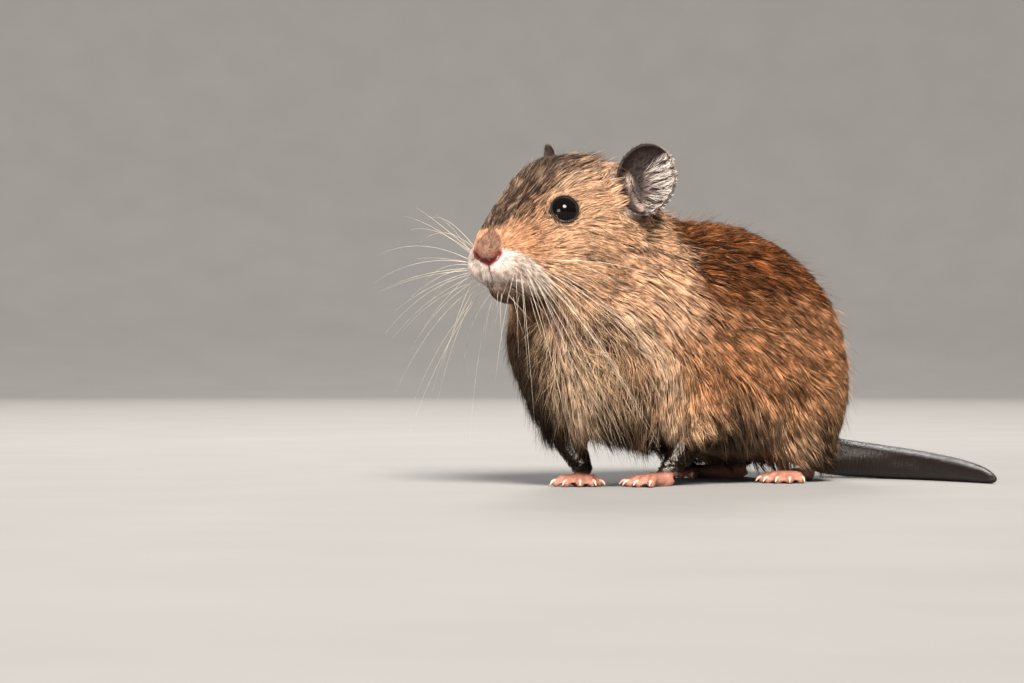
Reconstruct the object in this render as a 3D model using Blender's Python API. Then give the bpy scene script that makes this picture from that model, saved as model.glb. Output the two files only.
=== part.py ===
"""Still, life-size model of a field mouse that stands alert on all four feet, its tail laid round
its left side. The outline is that of the coat's tips. Lengths below are in millimetres and MM turns
them into metres. The mouse faces -Y, its left side is +X and the floor is z = 0. Every shape is made
with the head straight, and turn_head() turns the finished pieces of the head a little to one side."""

import math

import bmesh
import bpy
from mathutils import Matrix, Vector

MM = 0.001
GAP = 0.32  # kept between neighbouring pieces

# ---------------------------------------------------------------- driving dimensions

# Cross-sections of the trunk: place along Y, lowest point, highest point, half width.
TRUNK = [
    (-20.8, 22.0, 30.0, 4.5),
    (-18.4, 15.5, 35.5, 9.3),
    (-13.2, 10.0, 39.6, 12.8),
    (-6.0, 8.0, 42.4, 15.2),
    (4.0, 6.4, 43.8, 16.6),
    (14.0, 4.8, 44.6, 17.6),
    (24.0, 3.8, 44.0, 18.2),
    (32.0, 3.4, 41.6, 18.2),
    (39.0, 4.2, 37.2, 16.2),
    (44.4, 7.0, 31.4, 11.8),
    (47.4, 12.5, 25.0, 5.8),
]
TRUNK_WAIST = 0.41  # share of a section's height at which the trunk is widest
TRUNK_POWER = 2.2  # of the superellipse, where 2 is an ellipse

# Cross-sections of the head, in the same terms.
HEAD = [
    (-30.6, 36.0, 40.6, 2.2),
    (-29.6, 33.6, 42.2, 4.0),
    (-27.6, 31.4, 44.6, 5.8),
    (-24.8, 29.8, 47.8, 7.4),
    (-21.0, 28.8, 52.0, 9.3),
    (-17.0, 28.4, 54.2, 10.9),
    (-12.0, 28.8, 54.8, 12.0),
    (-6.0, 30.5, 53.8, 12.0),
    (-1.0, 34.0, 51.0, 10.4),
    (3.0, 38.0, 47.0, 6.5),
]
HEAD_WAIST = 0.44
HEAD_POWER = 2.05

# The neck is a tube from inside the chest up into the head: centre Y, centre Z, radius.
NECK = [(14.0, 27.0, 12.0), (5.0, 31.0, 14.2), (-3.0, 35.0, 13.6), (-10.0, 39.0, 11.6)]

# Cross-sections that restore the muzzle's shape after the head is blended with the neck.
MUZZLE = [row for row in HEAD if row[0] < -20.0]

# Rounded masses of the face, for the left side: centre, then radii.
LIP_PAD = ((2.6, -27.3, 36.3), (3.4, 3.9, 3.5))
CHIN = ((0.0, -24.6, 31.8), (3.3, 4.2, 2.4))
CHEEK = ((5.4, -12.0, 35.5), (7.2, 9.5, 8.0))
NOSE = ((0.0, -30.0, 38.1), (2.3, 1.8, 1.9))

EYE_CENTRE = (7.2, -19.8, 44.5)
EYE_RADIUS = 2.5

# Ears, for the left side: the rim is an oval round a centre, and the shell funnels to EAR_ROOT in
# the head. The right ear is pricked a little higher.
EAR_CENTRES = {"ear_left": (13.4, -7.6, 50.0), "ear_right": (13.2, -7.4, 51.4)}
EAR_ROOT = (8.6, -8.6, 45.6)
EAR_HALF_WIDTH, EAR_HALF_HEIGHT = 4.9, 6.0
EAR_FACING = (0.64, -0.74, 0.16)
EAR_TILT = math.radians(12.0)
EAR_THICKNESS = 0.7
EAR_RINGS, EAR_SIDES = 5, 18

# Limbs: tube points and radii from inside the trunk to wrist or ankle. A left limb has x above zero.
FORELEG_LEFT = [
    ((9.0, 4.0, 20.0), 6.0),
    ((10.0, 4.6, 12.5), 4.6),
    ((9.4, 4.6, 7.6), 2.9),
    ((6.9, 2.9, 2.9), 1.75),
]
FORELEG_RIGHT = [
    ((-9.0, -1.0, 20.0), 6.0),
    ((-9.8, -3.0, 12.5), 4.6),
    ((-8.8, -4.2, 7.6), 2.9),
    ((-5.2, -4.9, 2.9), 1.75),
]
THIGH = ((12.2, 31.0, 14.6), (6.6, 10.5, 11.0))
SHANK = [((12.2, 34.0, 8.6), 5.0), ((10.7, 37.0, 5.4), 3.2), ((9.2, 37.4, 3.0), 2.1)]

# What lies inside these ellipsoids belongs to a leg: centre, then radii.
LEG_LIMITS = {
    "foreleg_left": ((9.0, 3.8, 11.0), (6.8, 7.4, 13.0)),
    "foreleg_right": ((-8.0, -3.5, 11.0), (6.8, 7.4, 13.0)),
    "hindleg_left": ((13.2, 32.2, 11.0), (8.4, 12.8, 13.8)),
    "hindleg_right": ((-13.2, 32.2, 11.0), (8.4, 12.8, 13.8)),
}

# Feet: heel or wrist on the floor plan, heading in degrees from straight ahead (left is positive).
FORE_PAW = {"sole": 3.5, "spread": 1.9, "height": 2.7, "toe": 3.8, "toe_radius": 0.68}
HIND_PAW = {"sole": 11.0, "spread": 1.9, "height": 3.0, "toe": 4.4, "toe_radius": 0.72}
FORE_TOES = [(-64.0, 0.55), (-34.0, 0.9), (-10.0, 1.0), (14.0, 1.0), (40.0, 0.85)]
HIND_TOES = [(-42.0, 0.75), (-18.0, 1.0), (0.0, 1.05), (18.0, 1.0), (42.0, 0.75)]
PAWS = {
    "forefoot_left": ((6.9, 2.6), -12.0, FORE_PAW, FORE_TOES, 1),
    "forefoot_right": ((-5.2, -5.2), 32.0, FORE_PAW, FORE_TOES, -1),
    "hindfoot_left": ((8.4, 37.6), 20.0, HIND_PAW, HIND_TOES, 1),
    "hindfoot_right": ((-9.6, 41.6), -12.0, HIND_PAW, HIND_TOES, -1),
}
SOLE_HEIGHT = 1.15  # of the middle of the paws above the floor
CLAW_HEIGHT, CLAW_RADIUS = 1.1, 0.5
ANKLE = 2.9  # height at which a leg is parted from its foot

TAIL = [
    ((0.0, 36.0, 11.0), 3.7),
    ((0.8, 43.0, 6.6), 3.6),
    ((4.5, 49.0, 4.0), 3.4),
    ((12.0, 52.2, 3.1), 3.05),
    ((22.0, 52.6, 2.5), 2.55),
    ((31.0, 50.8, 1.95), 2.0),
    ((37.0, 48.8, 1.4), 1.45),
    ((40.5, 47.2, 0.8), 0.8),
]
TAIL_CUTS = (3, 5)  # the tail is parted at these of its points
TAIL_SIDES, TAIL_STEPS = 12, 3

# Thin cuts across the body, each a line of (Y, Z) points.
MOUTH_CUT = [(-40.0, 33.2), (-28.0, 33.0), (-25.0, 31.5), (-21.0, 30.6), (-19.2, 28.4)]
MUZZLE_CUT = [(-23.7, 60.0), (-23.7, 31.2)]
HEAD_CUT = [(8.0, 62.0), (4.0, 47.0), (-4.0, 36.0), (-14.0, 30.0), (-24.0, 27.0), (-32.0, 25.6)]
NECK_CUT = [(16.0, 62.0), (12.0, 44.0), (2.0, 33.0), (-10.0, 25.5), (-20.0, 22.0), (-32.0, 20.0)]

HEAD_TURN = math.radians(-6.0)  # to the mouse's right
TURN_PIVOT = (0.0, 4.0)
TURN_AXIS = Vector((0.0, -0.55, 0.83))  # up the neck
TURN_START, TURN_END = 17.0, 34.0  # measured along TURN_AXIS

SLAB = 90.0  # beyond the model on every side
VOXEL, PAW_VOXEL = 0.5, 0.25
TORSO_ROUNDS, FINE_ROUNDS = 40, 6
BODY_SHARE, PAW_SHARE = 0.020, 0.033  # of the triangles that are kept
BALL_SEGMENTS, LIMIT_SEGMENTS = 16, 14

# Where the middle of each length of body and tail lies, to name it by.
BODY_PLACES = {
    "trunk": (0.0, 14.0, 22.0),
    "neck": (0.0, -6.0, 35.0),
    "head": (0.0, -9.0, 42.0),
    "muzzle": (0.0, -27.5, 39.0),
    "lower_jaw": (0.0, -23.0, 31.0),
}
TAIL_PLACES = {
    "tail_base": (3.0, 43.0, 8.0),
    "tail_middle": (21.0, 52.0, 3.0),
    "tail_tip": (35.0, 49.0, 2.0),
}

# Colour and roughness of each kind of surface, and how the names of its pieces begin.
FINISHES = {
    "coat": ((0.36, 0.20, 0.10), 0.85),
    "ear_skin": ((0.10, 0.07, 0.06), 0.6),
    "bare_skin": ((0.74, 0.42, 0.36), 0.5),
    "tail_skin": ((0.02, 0.014, 0.013), 0.3),
    "eye": ((0.004, 0.004, 0.005), 0.04),
}
FINISH_OF = {
    "ear_skin": ("ear",),
    "bare_skin": ("forefoot", "hindfoot", "nose"),
    "tail_skin": ("tail",),
    "eye": ("eye",),
}


def clear_scene():
    for obj in list(bpy.data.objects):
        bpy.data.objects.remove(obj, do_unlink=True)


def smoothstep(low, high, value):
    t = min(1.0, max(0.0, (value - low) / (high - low)))
    return t * t * (3.0 - 2.0 * t)


def flipped(point):
    x, y, z = point
    return (-x, y, z)


def flipped_shape(shape):
    return (flipped(shape[0]), shape[1])


# ---------------------------------------------------------------- closed surfaces in a bmesh


def closed_rings(bm, rings):
    """Skins a list of rings of points with quads and closes both ends with a fan."""
    loops = [[bm.verts.new(Vector(p) * MM) for p in ring] for ring in rings]
    count = len(loops[0])
    for lower, upper in zip(loops, loops[1:]):
        for i in range(count):
            j = (i + 1) % count
            bm.faces.new((lower[i], lower[j], upper[j], upper[i]))
    for loop in (loops[0], loops[-1]):
        hub = bm.verts.new(sum((v.co for v in loop), Vector()) / count)
        for i in range(count):
            bm.faces.new((loop[i], loop[(i + 1) % count], hub))


def spline(rows, steps):
    """Catmull-Rom interpolation of rows of numbers, with steps intervals between rows."""
    padded = [rows[0], *rows, rows[-1]]
    out = []
    for before, start, end, after in zip(padded, padded[1:], padded[2:], padded[3:]):
        for k in range(steps):
            t = k / steps
            row = []
            for p, q, r, s in zip(before, start, end, after):
                slope, bend, twist = r - p, 2 * p - 5 * q + 4 * r - s, 3 * q - p - 3 * r + s
                row.append(0.5 * (2 * q + slope * t + bend * t**2 + twist * t**3))
            out.append(tuple(row))
    out.append(tuple(rows[-1]))
    return out


def add_sections(bm, sections, waist, power, sides=36):
    """Superellipses across Y, whose upper and lower halves meet at the waist."""
    rings = []
    for y, low, high, half_width in spline(sections, 4):
        middle = low + waist * (high - low)
        ring = []
        for i in range(sides):
            angle = 2.0 * math.pi * i / sides
            c, s = math.cos(angle), math.sin(angle)
            reach = high - middle if s > 0 else middle - low
            x = half_width * math.copysign(abs(c) ** (2.0 / power), c)
            z = middle + reach * math.copysign(abs(s) ** (2.0 / power), s)
            ring.append((x, y, z))
        rings.append(ring)
    closed_rings(bm, rings)


def add_tube(bm, path, sides=14, steps=4, extra=0.0):
    """A round-ended tube along path, a list of (point, radius). extra is added to each radius."""
    rows = spline([(*point, radius + extra) for point, radius in path], steps)
    centres = [Vector(row[:3]) for row in rows]
    last = len(rows) - 1
    rings = []
    for i, row in enumerate(rows):
        along = (centres[min(i + 1, last)] - centres[max(i - 1, 0)]).normalized()
        across = along.cross(Vector((0.0, 0.0, 1.0)))
        if across.length < 0.2:
            across = along.cross(Vector((0.0, 1.0, 0.0)))
        across.normalize()
        up = across.cross(along)
        shifts = [0.0]
        if i == 0:
            shifts = [-0.94, -0.7, -0.36, 0.0]
        elif i == last:
            shifts = [0.0, 0.36, 0.7, 0.94]
        for shift in shifts:
            radius = row[3] * math.sqrt(1.0 - shift * shift)
            middle = centres[i] + along * row[3] * shift
            ring = []
            for k in range(sides):
                angle = 2 * math.pi * k / sides
                ring.append(middle + (across * math.cos(angle) + up * math.sin(angle)) * radius)
            rings.append(ring)
    closed_rings(bm, rings)


def add_blob(bm, centre, radii, extra=0.0, segments=20):
    """An ellipsoid, with extra added to each radius."""
    matrix = Matrix.Translation(Vector(centre) * MM)
    matrix = matrix @ Matrix.Diagonal((*((r + extra) * MM for r in radii), 1.0))
    bmesh.ops.create_uvsphere(
        bm, u_segments=segments, v_segments=segments * 3 // 5, radius=1.0, matrix=matrix
    )


# ---------------------------------------------------------------- objects and their tools


def new_object(name, build, *arguments):
    """An object whose mesh build(bm, *arguments) fills in, with its faces pointing out."""
    bm = bmesh.new()
    build(bm, *arguments)
    bmesh.ops.recalc_face_normals(bm, faces=bm.faces)
    data = bpy.data.meshes.new(name)
    bm.to_mesh(data)
    bm.free()
    obj = bpy.data.objects.new(name, data)
    bpy.context.scene.collection.objects.link(obj)
    return obj


def apply_modifiers(obj):
    graph = bpy.context.evaluated_depsgraph_get()
    data = bpy.data.meshes.new_from_object(obj.evaluated_get(graph), depsgraph=graph)
    obj.modifiers.clear()
    old, obj.data = obj.data, data
    bpy.data.meshes.remove(old)


def remove(*objects):
    for obj in objects:
        bpy.data.objects.remove(obj, do_unlink=True)


def blend(obj, voxel, rounds):
    """Makes the overlapping closed surfaces of obj one surface with softened creases."""
    remesh = obj.modifiers.new("Blend", "REMESH")
    remesh.mode = "VOXEL"
    remesh.voxel_size = voxel * MM
    soften = obj.modifiers.new("Soften", "SMOOTH")
    soften.factor = 0.5
    soften.iterations = rounds
    apply_modifiers(obj)
    return obj


def thin(obj, share):
    """Keeps only this share of the triangles, most of them where the form bends."""
    fewer = obj.modifiers.new("Thin", "DECIMATE")
    fewer.ratio = share
    apply_modifiers(obj)
    return obj


def join(obj, other):
    """Adds the surface of other to obj and removes other."""
    bm = bmesh.new()
    bm.from_mesh(obj.data)
    bm.from_mesh(other.data)
    bm.to_mesh(obj.data)
    bm.free()
    remove(other)


def combine(obj, other, operation):
    """Cuts obj with, or down to, the form of other. other is removed."""
    boolean = obj.modifiers.new("Cut", "BOOLEAN")
    boolean.operation = operation
    boolean.solver = "EXACT"
    boolean.use_self = True
    boolean.object = other
    apply_modifiers(obj)
    remove(other)


def cut(obj, cutter):
    combine(obj, cutter, "DIFFERENCE")


def add_band(bm, line):
    """A thin wall that stands on a line of (Y, Z) points and runs right across the body."""
    sides = []
    for i, (y, z) in enumerate(line):
        before, after = line[max(i - 1, 0)], line[min(i + 1, len(line) - 1)]
        along = Vector((after[0] - before[0], after[1] - before[1])).normalized()
        off = Vector((-along.y, along.x)) * GAP / 2
        sides.append((Vector((y, z)) + off, Vector((y, z)) - off))
    outline = [pair[0] for pair in sides] + [pair[1] for pair in reversed(sides)]
    left = [bm.verts.new(Vector((-SLAB, p.x, p.y)) * MM) for p in outline]
    right = [bm.verts.new(Vector((SLAB, p.x, p.y)) * MM) for p in outline]
    count = len(sides)
    for k in range(len(outline)):
        j = (k + 1) % len(outline)
        bm.faces.new((left[k], left[j], right[j], right[k]))
    for row in (left, right):
        for k in range(count - 1):
            bm.faces.new((row[k], row[k + 1], row[-k - 2], row[-k - 1]))


def add_slab(bm, low, high):
    """Everything between two heights, as a cutter."""
    matrix = Matrix.Translation((0.0, 0.0, (low + high) / 2 * MM))
    matrix = matrix @ Matrix.Diagonal((2 * SLAB * MM, 2 * SLAB * MM, (high - low) * MM, 1.0))
    bmesh.ops.create_cube(bm, size=1.0, matrix=matrix)


def add_disc(bm, centre, normal, radius):
    """A thin disc, GAP thick, that parts a tube."""
    turn = Vector(normal).to_track_quat("Z", "Y").to_matrix().to_4x4()
    matrix = Matrix.Translation(Vector(centre) * MM) @ turn
    bmesh.ops.create_cone(
        bm,
        cap_ends=True,
        segments=24,
        radius1=radius * MM,
        radius2=radius * MM,
        depth=GAP * MM,
        matrix=matrix,
    )


def islands(bm):
    """The faces of a bmesh in groups that hang together, largest group first."""
    unseen = set(bm.faces)
    groups = []
    for start in bm.faces:
        if start not in unseen:
            continue
        unseen.remove(start)
        todo, group = [start], []
        while todo:
            face = todo.pop()
            group.append(face)
            for other in (f for edge in face.edges for f in edge.link_faces):
                if other in unseen:
                    unseen.remove(other)
                    todo.append(other)
        groups.append(group)
    return sorted(groups, key=len, reverse=True)


def loose_parts(obj, count):
    """The count largest separate surfaces of obj as objects of their own. obj is removed."""
    bm = bmesh.new()
    bm.from_mesh(obj.data)
    parts = []
    for group in islands(bm)[:count]:
        index = {}
        for face in group:
            for vertex in face.verts:
                index.setdefault(vertex, len(index))
        data = bpy.data.meshes.new("piece")
        faces = [[index[v] for v in face.verts] for face in group]
        data.from_pydata([v.co for v in index], [], faces)
        piece = bpy.data.objects.new("piece", data)
        bpy.context.scene.collection.objects.link(piece)
        parts.append(piece)
    bm.free()
    remove(obj)
    return parts


def drop_crumbs(obj):
    """Keeps the largest surface of obj, without the specks that cutting can leave beside it."""
    bm = bmesh.new()
    bm.from_mesh(obj.data)
    for group in islands(bm)[1:]:
        bmesh.ops.delete(bm, geom=group, context="FACES")
    bm.to_mesh(obj.data)
    bm.free()


def centre_of(obj):
    corners = [Vector(c) for c in obj.bound_box]
    return sum(corners, Vector()) / len(corners) / MM


def name_parts(parts, places):
    """Names each part after the place, of a dict of name to point, that its middle is nearest to."""
    named = {}
    for name, place in places.items():
        nearest = min(parts, key=lambda p: (centre_of(p) - Vector(place)).length)
        parts.remove(nearest)
        nearest.name = name
        named[name] = nearest
    return named


# ---------------------------------------------------------------- the sub-parts


def build_torso(bm):
    add_sections(bm, TRUNK, TRUNK_WAIST, TRUNK_POWER)
    add_sections(bm, HEAD, HEAD_WAIST, HEAD_POWER)
    add_tube(bm, [((0.0, y, z), radius) for y, z, radius in NECK], sides=28)
    for leg in (FORELEG_LEFT, FORELEG_RIGHT):
        add_tube(bm, leg[:2])
    for mass in (CHEEK, THIGH):
        add_blob(bm, *mass)
        add_blob(bm, *flipped_shape(mass))


def build_extremities(bm):
    add_sections(bm, MUZZLE, HEAD_WAIST, HEAD_POWER)
    add_blob(bm, *CHIN)
    add_blob(bm, *LIP_PAD)
    add_blob(bm, *flipped_shape(LIP_PAD))
    for path in (FORELEG_LEFT, FORELEG_RIGHT, SHANK, [(flipped(p), r) for p, r in SHANK]):
        add_tube(bm, path)


def build_ear(bm, ear_centre, side):
    """An oval cup with its deepest point at the root. Solidify gives it its thickness."""
    facing = Vector((EAR_FACING[0] * side, *EAR_FACING[1:])).normalized()
    across = facing.cross(Vector((0.0, 0.0, 1.0))).normalized() * side
    up = across.cross(facing) * side
    centre = Vector((ear_centre[0] * side, *ear_centre[1:]))
    root = Vector((EAR_ROOT[0] * side, *EAR_ROOT[1:]))
    depth = (centre - root).dot(facing)
    hub = bm.verts.new(root * MM)
    loops = []
    for i in range(1, EAR_RINGS + 1):
        t = i / EAR_RINGS
        spread = math.sin(t * math.pi / 2) ** 0.85
        loop = []
        for k in range(EAR_SIDES):
            angle = 2 * math.pi * k / EAR_SIDES
            a = math.cos(angle) * EAR_HALF_WIDTH
            b = math.sin(angle) * EAR_HALF_HEIGHT
            leaning = (
                a * math.cos(EAR_TILT) - b * math.sin(EAR_TILT),
                a * math.sin(EAR_TILT) + b * math.cos(EAR_TILT),
            )
            rim = centre + across * leaning[0] + up * leaning[1] - facing * depth
            point = root + facing * depth * t**1.7 + (rim - root) * spread
            loop.append(bm.verts.new(point * MM))
        loops.append(loop)
    for k in range(EAR_SIDES):
        bm.faces.new((hub, loops[0][k], loops[0][(k + 1) % EAR_SIDES]))
    for lower, upper in zip(loops, loops[1:]):
        for k in range(EAR_SIDES):
            j = (k + 1) % EAR_SIDES
            bm.faces.new((lower[k], lower[j], upper[j], upper[k]))


def ahead(point, angle, distance, z):
    """The place at this distance from point, at a heading where zero is -Y, and at height z."""
    return (point[0] + math.sin(angle) * distance, point[1] - math.cos(angle) * distance, z)


def build_foot(bm, heel, heading, paw, toes, side):
    """A paw with its toes and claws."""
    straight = math.radians(heading)
    radius = paw["toe_radius"]
    heel_pad = ahead(heel, straight, 0.4, SOLE_HEIGHT)
    knuckle = ahead(heel, straight, paw["sole"], SOLE_HEIGHT)
    add_tube(bm, [((*heel, paw["height"]), 1.75), (heel_pad, 1.5), (knuckle, 1.35)])
    for angle, share in toes:
        turn = straight + math.radians(angle) * side
        spread = math.sin(math.radians(angle)) * side * paw["spread"]
        root = ahead(knuckle, straight + math.pi / 2, spread, SOLE_HEIGHT)
        length = paw["toe"] * share
        middle = ahead(root, turn, length * 0.5, SOLE_HEIGHT)
        tip = ahead(root, turn, length * 0.95, radius * 0.8)
        toe = [(heel_pad, 1.2), (root, radius * 1.35), (middle, radius), (tip, radius * 1.12)]
        add_tube(bm, toe, sides=10)
        claw_root = ahead(root, turn, length * 0.9, CLAW_HEIGHT)
        claw_tip = ahead(root, turn, length * 0.95 + radius * 2.1, CLAW_HEIGHT - 0.6)
        add_tube(bm, [(claw_root, CLAW_RADIUS), (claw_tip, CLAW_RADIUS * 0.6)], sides=8)


# ---------------------------------------------------------------- assembly


def make_whole():
    """Trunk, neck, head and legs as one blended form. The fine parts are softened less."""
    whole = blend(new_object("whole", build_torso), VOXEL, TORSO_ROUNDS)
    join(whole, new_object("extremities", build_extremities))
    return thin(blend(whole, VOXEL, FINE_ROUNDS), BODY_SHARE)


def make_ears(whole):
    """Two thin cups, each ended where it meets the head."""
    for name, centre in EAR_CENTRES.items():
        ear = new_object(name, build_ear, centre, 1 if name == "ear_left" else -1)
        solid = ear.modifiers.new("Thickness", "SOLIDIFY")
        solid.thickness = EAR_THICKNESS * MM
        solid.offset = 0.0
        apply_modifiers(ear)
        head = whole.copy()
        head.data = whole.data.copy()
        bpy.context.scene.collection.objects.link(head)
        swell = head.modifiers.new("Clearance", "DISPLACE")
        swell.strength = GAP * MM
        swell.mid_level = 0.0
        apply_modifiers(head)
        cut(ear, head)


def part_body(whole):
    """Cuts the whole into its named lengths and returns them by name."""
    for line in (MOUTH_CUT, MUZZLE_CUT, HEAD_CUT, NECK_CUT):
        cut(whole, new_object("band", add_band, line))
    return name_parts(loose_parts(whole, len(BODY_PLACES)), BODY_PLACES)


def take(whole, name, centre, radii):
    """Parts what lies inside an ellipsoid from whole, as a new object with a gap round it."""
    piece = whole.copy()
    piece.data = whole.data.copy()
    piece.name = name
    bpy.context.scene.collection.objects.link(piece)
    inner = new_object("inner", add_blob, centre, radii, -GAP / 2, LIMIT_SEGMENTS)
    outer = new_object("outer", add_blob, centre, radii, GAP / 2, LIMIT_SEGMENTS)
    combine(piece, inner, "INTERSECT")
    combine(whole, outer, "DIFFERENCE")
    return piece


def make_legs(whole):
    """Legs take their share of the blended form, and end in a flat face over each foot."""
    cut(whole, new_object("below", add_slab, -SLAB, ANKLE + GAP / 2))
    for name, limit in LEG_LIMITS.items():
        take(whole, name, *limit)


def make_feet():
    for name, values in PAWS.items():
        foot = blend(new_object(name, build_foot, *values), PAW_VOXEL, 2)
        thin(foot, PAW_SHARE)
        cut(foot, new_object("below", add_slab, -SLAB, 0.0))
        cut(foot, new_object("above", add_slab, ANKLE - GAP / 2, SLAB))


def make_tail(trunk):
    cut(trunk, new_object("socket", add_tube, TAIL, TAIL_SIDES, TAIL_STEPS, GAP))
    tail = new_object("tail", add_tube, TAIL, TAIL_SIDES, TAIL_STEPS)
    cut(tail, new_object("below", add_slab, -SLAB, 0.0))
    for index in TAIL_CUTS:
        before, (middle, radius), after = TAIL[index - 1][0], TAIL[index], TAIL[index + 1][0]
        direction = Vector(after) - Vector(before)
        cut(tail, new_object("disc", add_disc, middle, direction, radius * 1.6))
    name_parts(loose_parts(tail, len(TAIL_PLACES)), TAIL_PLACES)


def set_in(holder, name, centre, radii):
    """A ball set into a socket in holder."""
    cut(holder, new_object("socket", add_blob, centre, radii, GAP, BALL_SEGMENTS))
    new_object(name, add_blob, centre, radii, 0.0, BALL_SEGMENTS)


def make_face(head, muzzle):
    set_in(muzzle, "nose", *NOSE)
    set_in(head, "eye_left", EYE_CENTRE, (EYE_RADIUS,) * 3)
    set_in(head, "eye_right", flipped(EYE_CENTRE), (EYE_RADIUS,) * 3)


def paint(objects):
    """Gives each sub-part its material."""
    slots = {}
    for name, (colour, roughness) in FINISHES.items():
        material = bpy.data.materials.new(name)
        material.use_nodes = True
        shader = material.node_tree.nodes["Principled BSDF"]
        shader.inputs["Base Color"].default_value = (*colour, 1.0)
        shader.inputs["Roughness"].default_value = roughness
        slots[name] = material
    for obj in objects:
        slot = next((s for s, words in FINISH_OF.items() if obj.name.startswith(words)), "coat")
        obj.data.materials.clear()
        obj.data.materials.append(slots[slot])


def turn_head(obj):
    """Turns what is above the neck, and less and less of what is below."""
    pivot = Vector((*TURN_PIVOT, 0.0)) * MM
    for vertex in obj.data.vertices:
        along = vertex.co.dot(TURN_AXIS) / MM
        angle = HEAD_TURN * smoothstep(TURN_START, TURN_END, along)
        vertex.co = Matrix.Rotation(angle, 3, "Z") @ (vertex.co - pivot) + pivot


def centre_on_floor(objects):
    """Puts the origin under the middle of the whole model, at the floor."""
    corners = [v.co for obj in objects for v in obj.data.vertices]
    low = [min(c[i] for c in corners) for i in range(3)]
    high = [max(c[i] for c in corners) for i in range(3)]
    shift = Matrix.Translation((-(low[0] + high[0]) / 2, -(low[1] + high[1]) / 2, -low[2]))
    for obj in objects:
        obj.data.transform(shift)


def main():
    clear_scene()
    whole = make_whole()
    make_ears(whole)
    make_legs(whole)
    body = part_body(whole)
    make_tail(body["trunk"])
    make_feet()
    make_face(body["head"], body["muzzle"])
    pieces = list(bpy.context.scene.objects)
    for obj in pieces:
        drop_crumbs(obj)
        turn_head(obj)
    centre_on_floor(pieces)
    paint(pieces)


main()
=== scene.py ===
"""Looks of the field mouse. One skin takes the place of all the solids of flesh, and lies inside
them by the depth of the coat. The coat is mesh tufts that grow from the skin and lie along the
body. Eyes, claws and whiskers are pieces of their own. Lengths are in millimetres, and MM turns
them into metres. The mouse faces -Y, its left side is +X and the floor is z = 0."""

import math

import bmesh
import bpy
import numpy as np
from mathutils import Matrix, Vector
from mathutils.bvhtree import BVHTree
from mathutils.kdtree import KDTree


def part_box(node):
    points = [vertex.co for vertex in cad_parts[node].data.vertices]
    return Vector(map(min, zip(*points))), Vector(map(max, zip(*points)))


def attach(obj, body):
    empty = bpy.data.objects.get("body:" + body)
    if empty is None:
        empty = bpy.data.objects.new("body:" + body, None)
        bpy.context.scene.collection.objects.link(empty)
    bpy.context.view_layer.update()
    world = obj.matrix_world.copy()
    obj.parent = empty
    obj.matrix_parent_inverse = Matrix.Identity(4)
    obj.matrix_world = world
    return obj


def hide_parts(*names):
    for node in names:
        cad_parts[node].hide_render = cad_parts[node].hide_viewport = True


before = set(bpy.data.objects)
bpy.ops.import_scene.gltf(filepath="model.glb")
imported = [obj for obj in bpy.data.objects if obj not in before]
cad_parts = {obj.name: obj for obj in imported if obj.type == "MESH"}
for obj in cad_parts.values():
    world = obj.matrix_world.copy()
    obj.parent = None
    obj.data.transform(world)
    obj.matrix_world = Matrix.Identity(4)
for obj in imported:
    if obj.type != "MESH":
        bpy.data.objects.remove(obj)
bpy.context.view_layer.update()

MM = 0.001
rng = np.random.default_rng(20)

# ---------------------------------------- small helpers


def ramp(low, high, value):
    """Smoothly from 0 at low to 1 at high."""
    t = np.clip((value - low) / (high - low), 0.0, 1.0)
    return t * t * (3.0 - 2.0 * t)


def fade(low, high, value):
    return 1.0 - ramp(low, high, value)


def glow(distance, radius, power=2):
    """1 at no distance, and little beyond the radius."""
    return np.exp(-((distance / radius) ** power))


def mix(a, b, t):
    return a + (b - a) * t


def blend(colours, target, weight):
    return mix(colours, target, np.clip(weight, 0.0, 1.0)[:, None])


def norm(vectors):
    return np.linalg.norm(vectors, axis=-1)


def unit(vectors):
    return vectors / np.maximum(norm(vectors)[..., None], 1e-9)


def flat_on(vectors, normals):
    """The unit part of vectors that lies along the surface."""
    return unit(vectors - (vectors * normals).sum(1, keepdims=True) * normals)


def nearest_rows(places, points):
    """For each point, which of the places is nearest."""
    tree = KDTree(len(places))
    for i, place in enumerate(places):
        tree.insert(place, i)
    tree.balance()
    return np.array([tree.find(point)[1] for point in points])


def distance_to_points(points, places):
    return np.sqrt(((points[:, None] - places[None]) ** 2).sum(2)).min(1)


def near_path(places, path):
    """Distance to a path of points, in two or three dimensions."""
    best = np.full(len(places), 1e3)
    for start, end in zip(path, path[1:]):
        a, b = np.array(start, float), np.array(end, float)
        t = np.clip(((places - a) @ (b - a)) / ((b - a) @ (b - a)), 0.0, 1.0)
        best = np.minimum(best, norm(places - a - t[:, None] * (b - a)))
    return best


def spline(rows, steps):
    """Catmull-Rom interpolation of rows of numbers, with steps intervals between rows."""
    padded = [rows[0], *rows, rows[-1]]
    out = []
    for before, start, end, after in zip(padded, padded[1:], padded[2:], padded[3:]):
        for k in range(steps):
            t = k / steps
            row = []
            for p, q, r, s in zip(before, start, end, after):
                slope, bend, twist = r - p, 2 * p - 5 * q + 4 * r - s, 3 * q - p - 3 * r + s
                row.append(0.5 * (2 * q + slope * t + bend * t**2 + twist * t**3))
            out.append(tuple(row))
    out.append(tuple(rows[-1]))
    return out


def circle(count):
    """The cosine and the sine of angles all round."""
    turns = [2 * math.pi * k / count for k in range(count)]
    return [(math.cos(angle), math.sin(angle)) for angle in turns]


def fan(bm, loop, hub):
    for i, vertex in enumerate(loop):
        bm.faces.new((vertex, loop[(i + 1) % len(loop)], hub))


def bridge(bm, loops):
    """Faces between loops of vertices that follow one another."""
    for lower, upper in zip(loops, loops[1:]):
        for i in range(len(lower)):
            j = (i + 1) % len(lower)
            bm.faces.new((lower[i], lower[j], upper[j], upper[i]))


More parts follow.
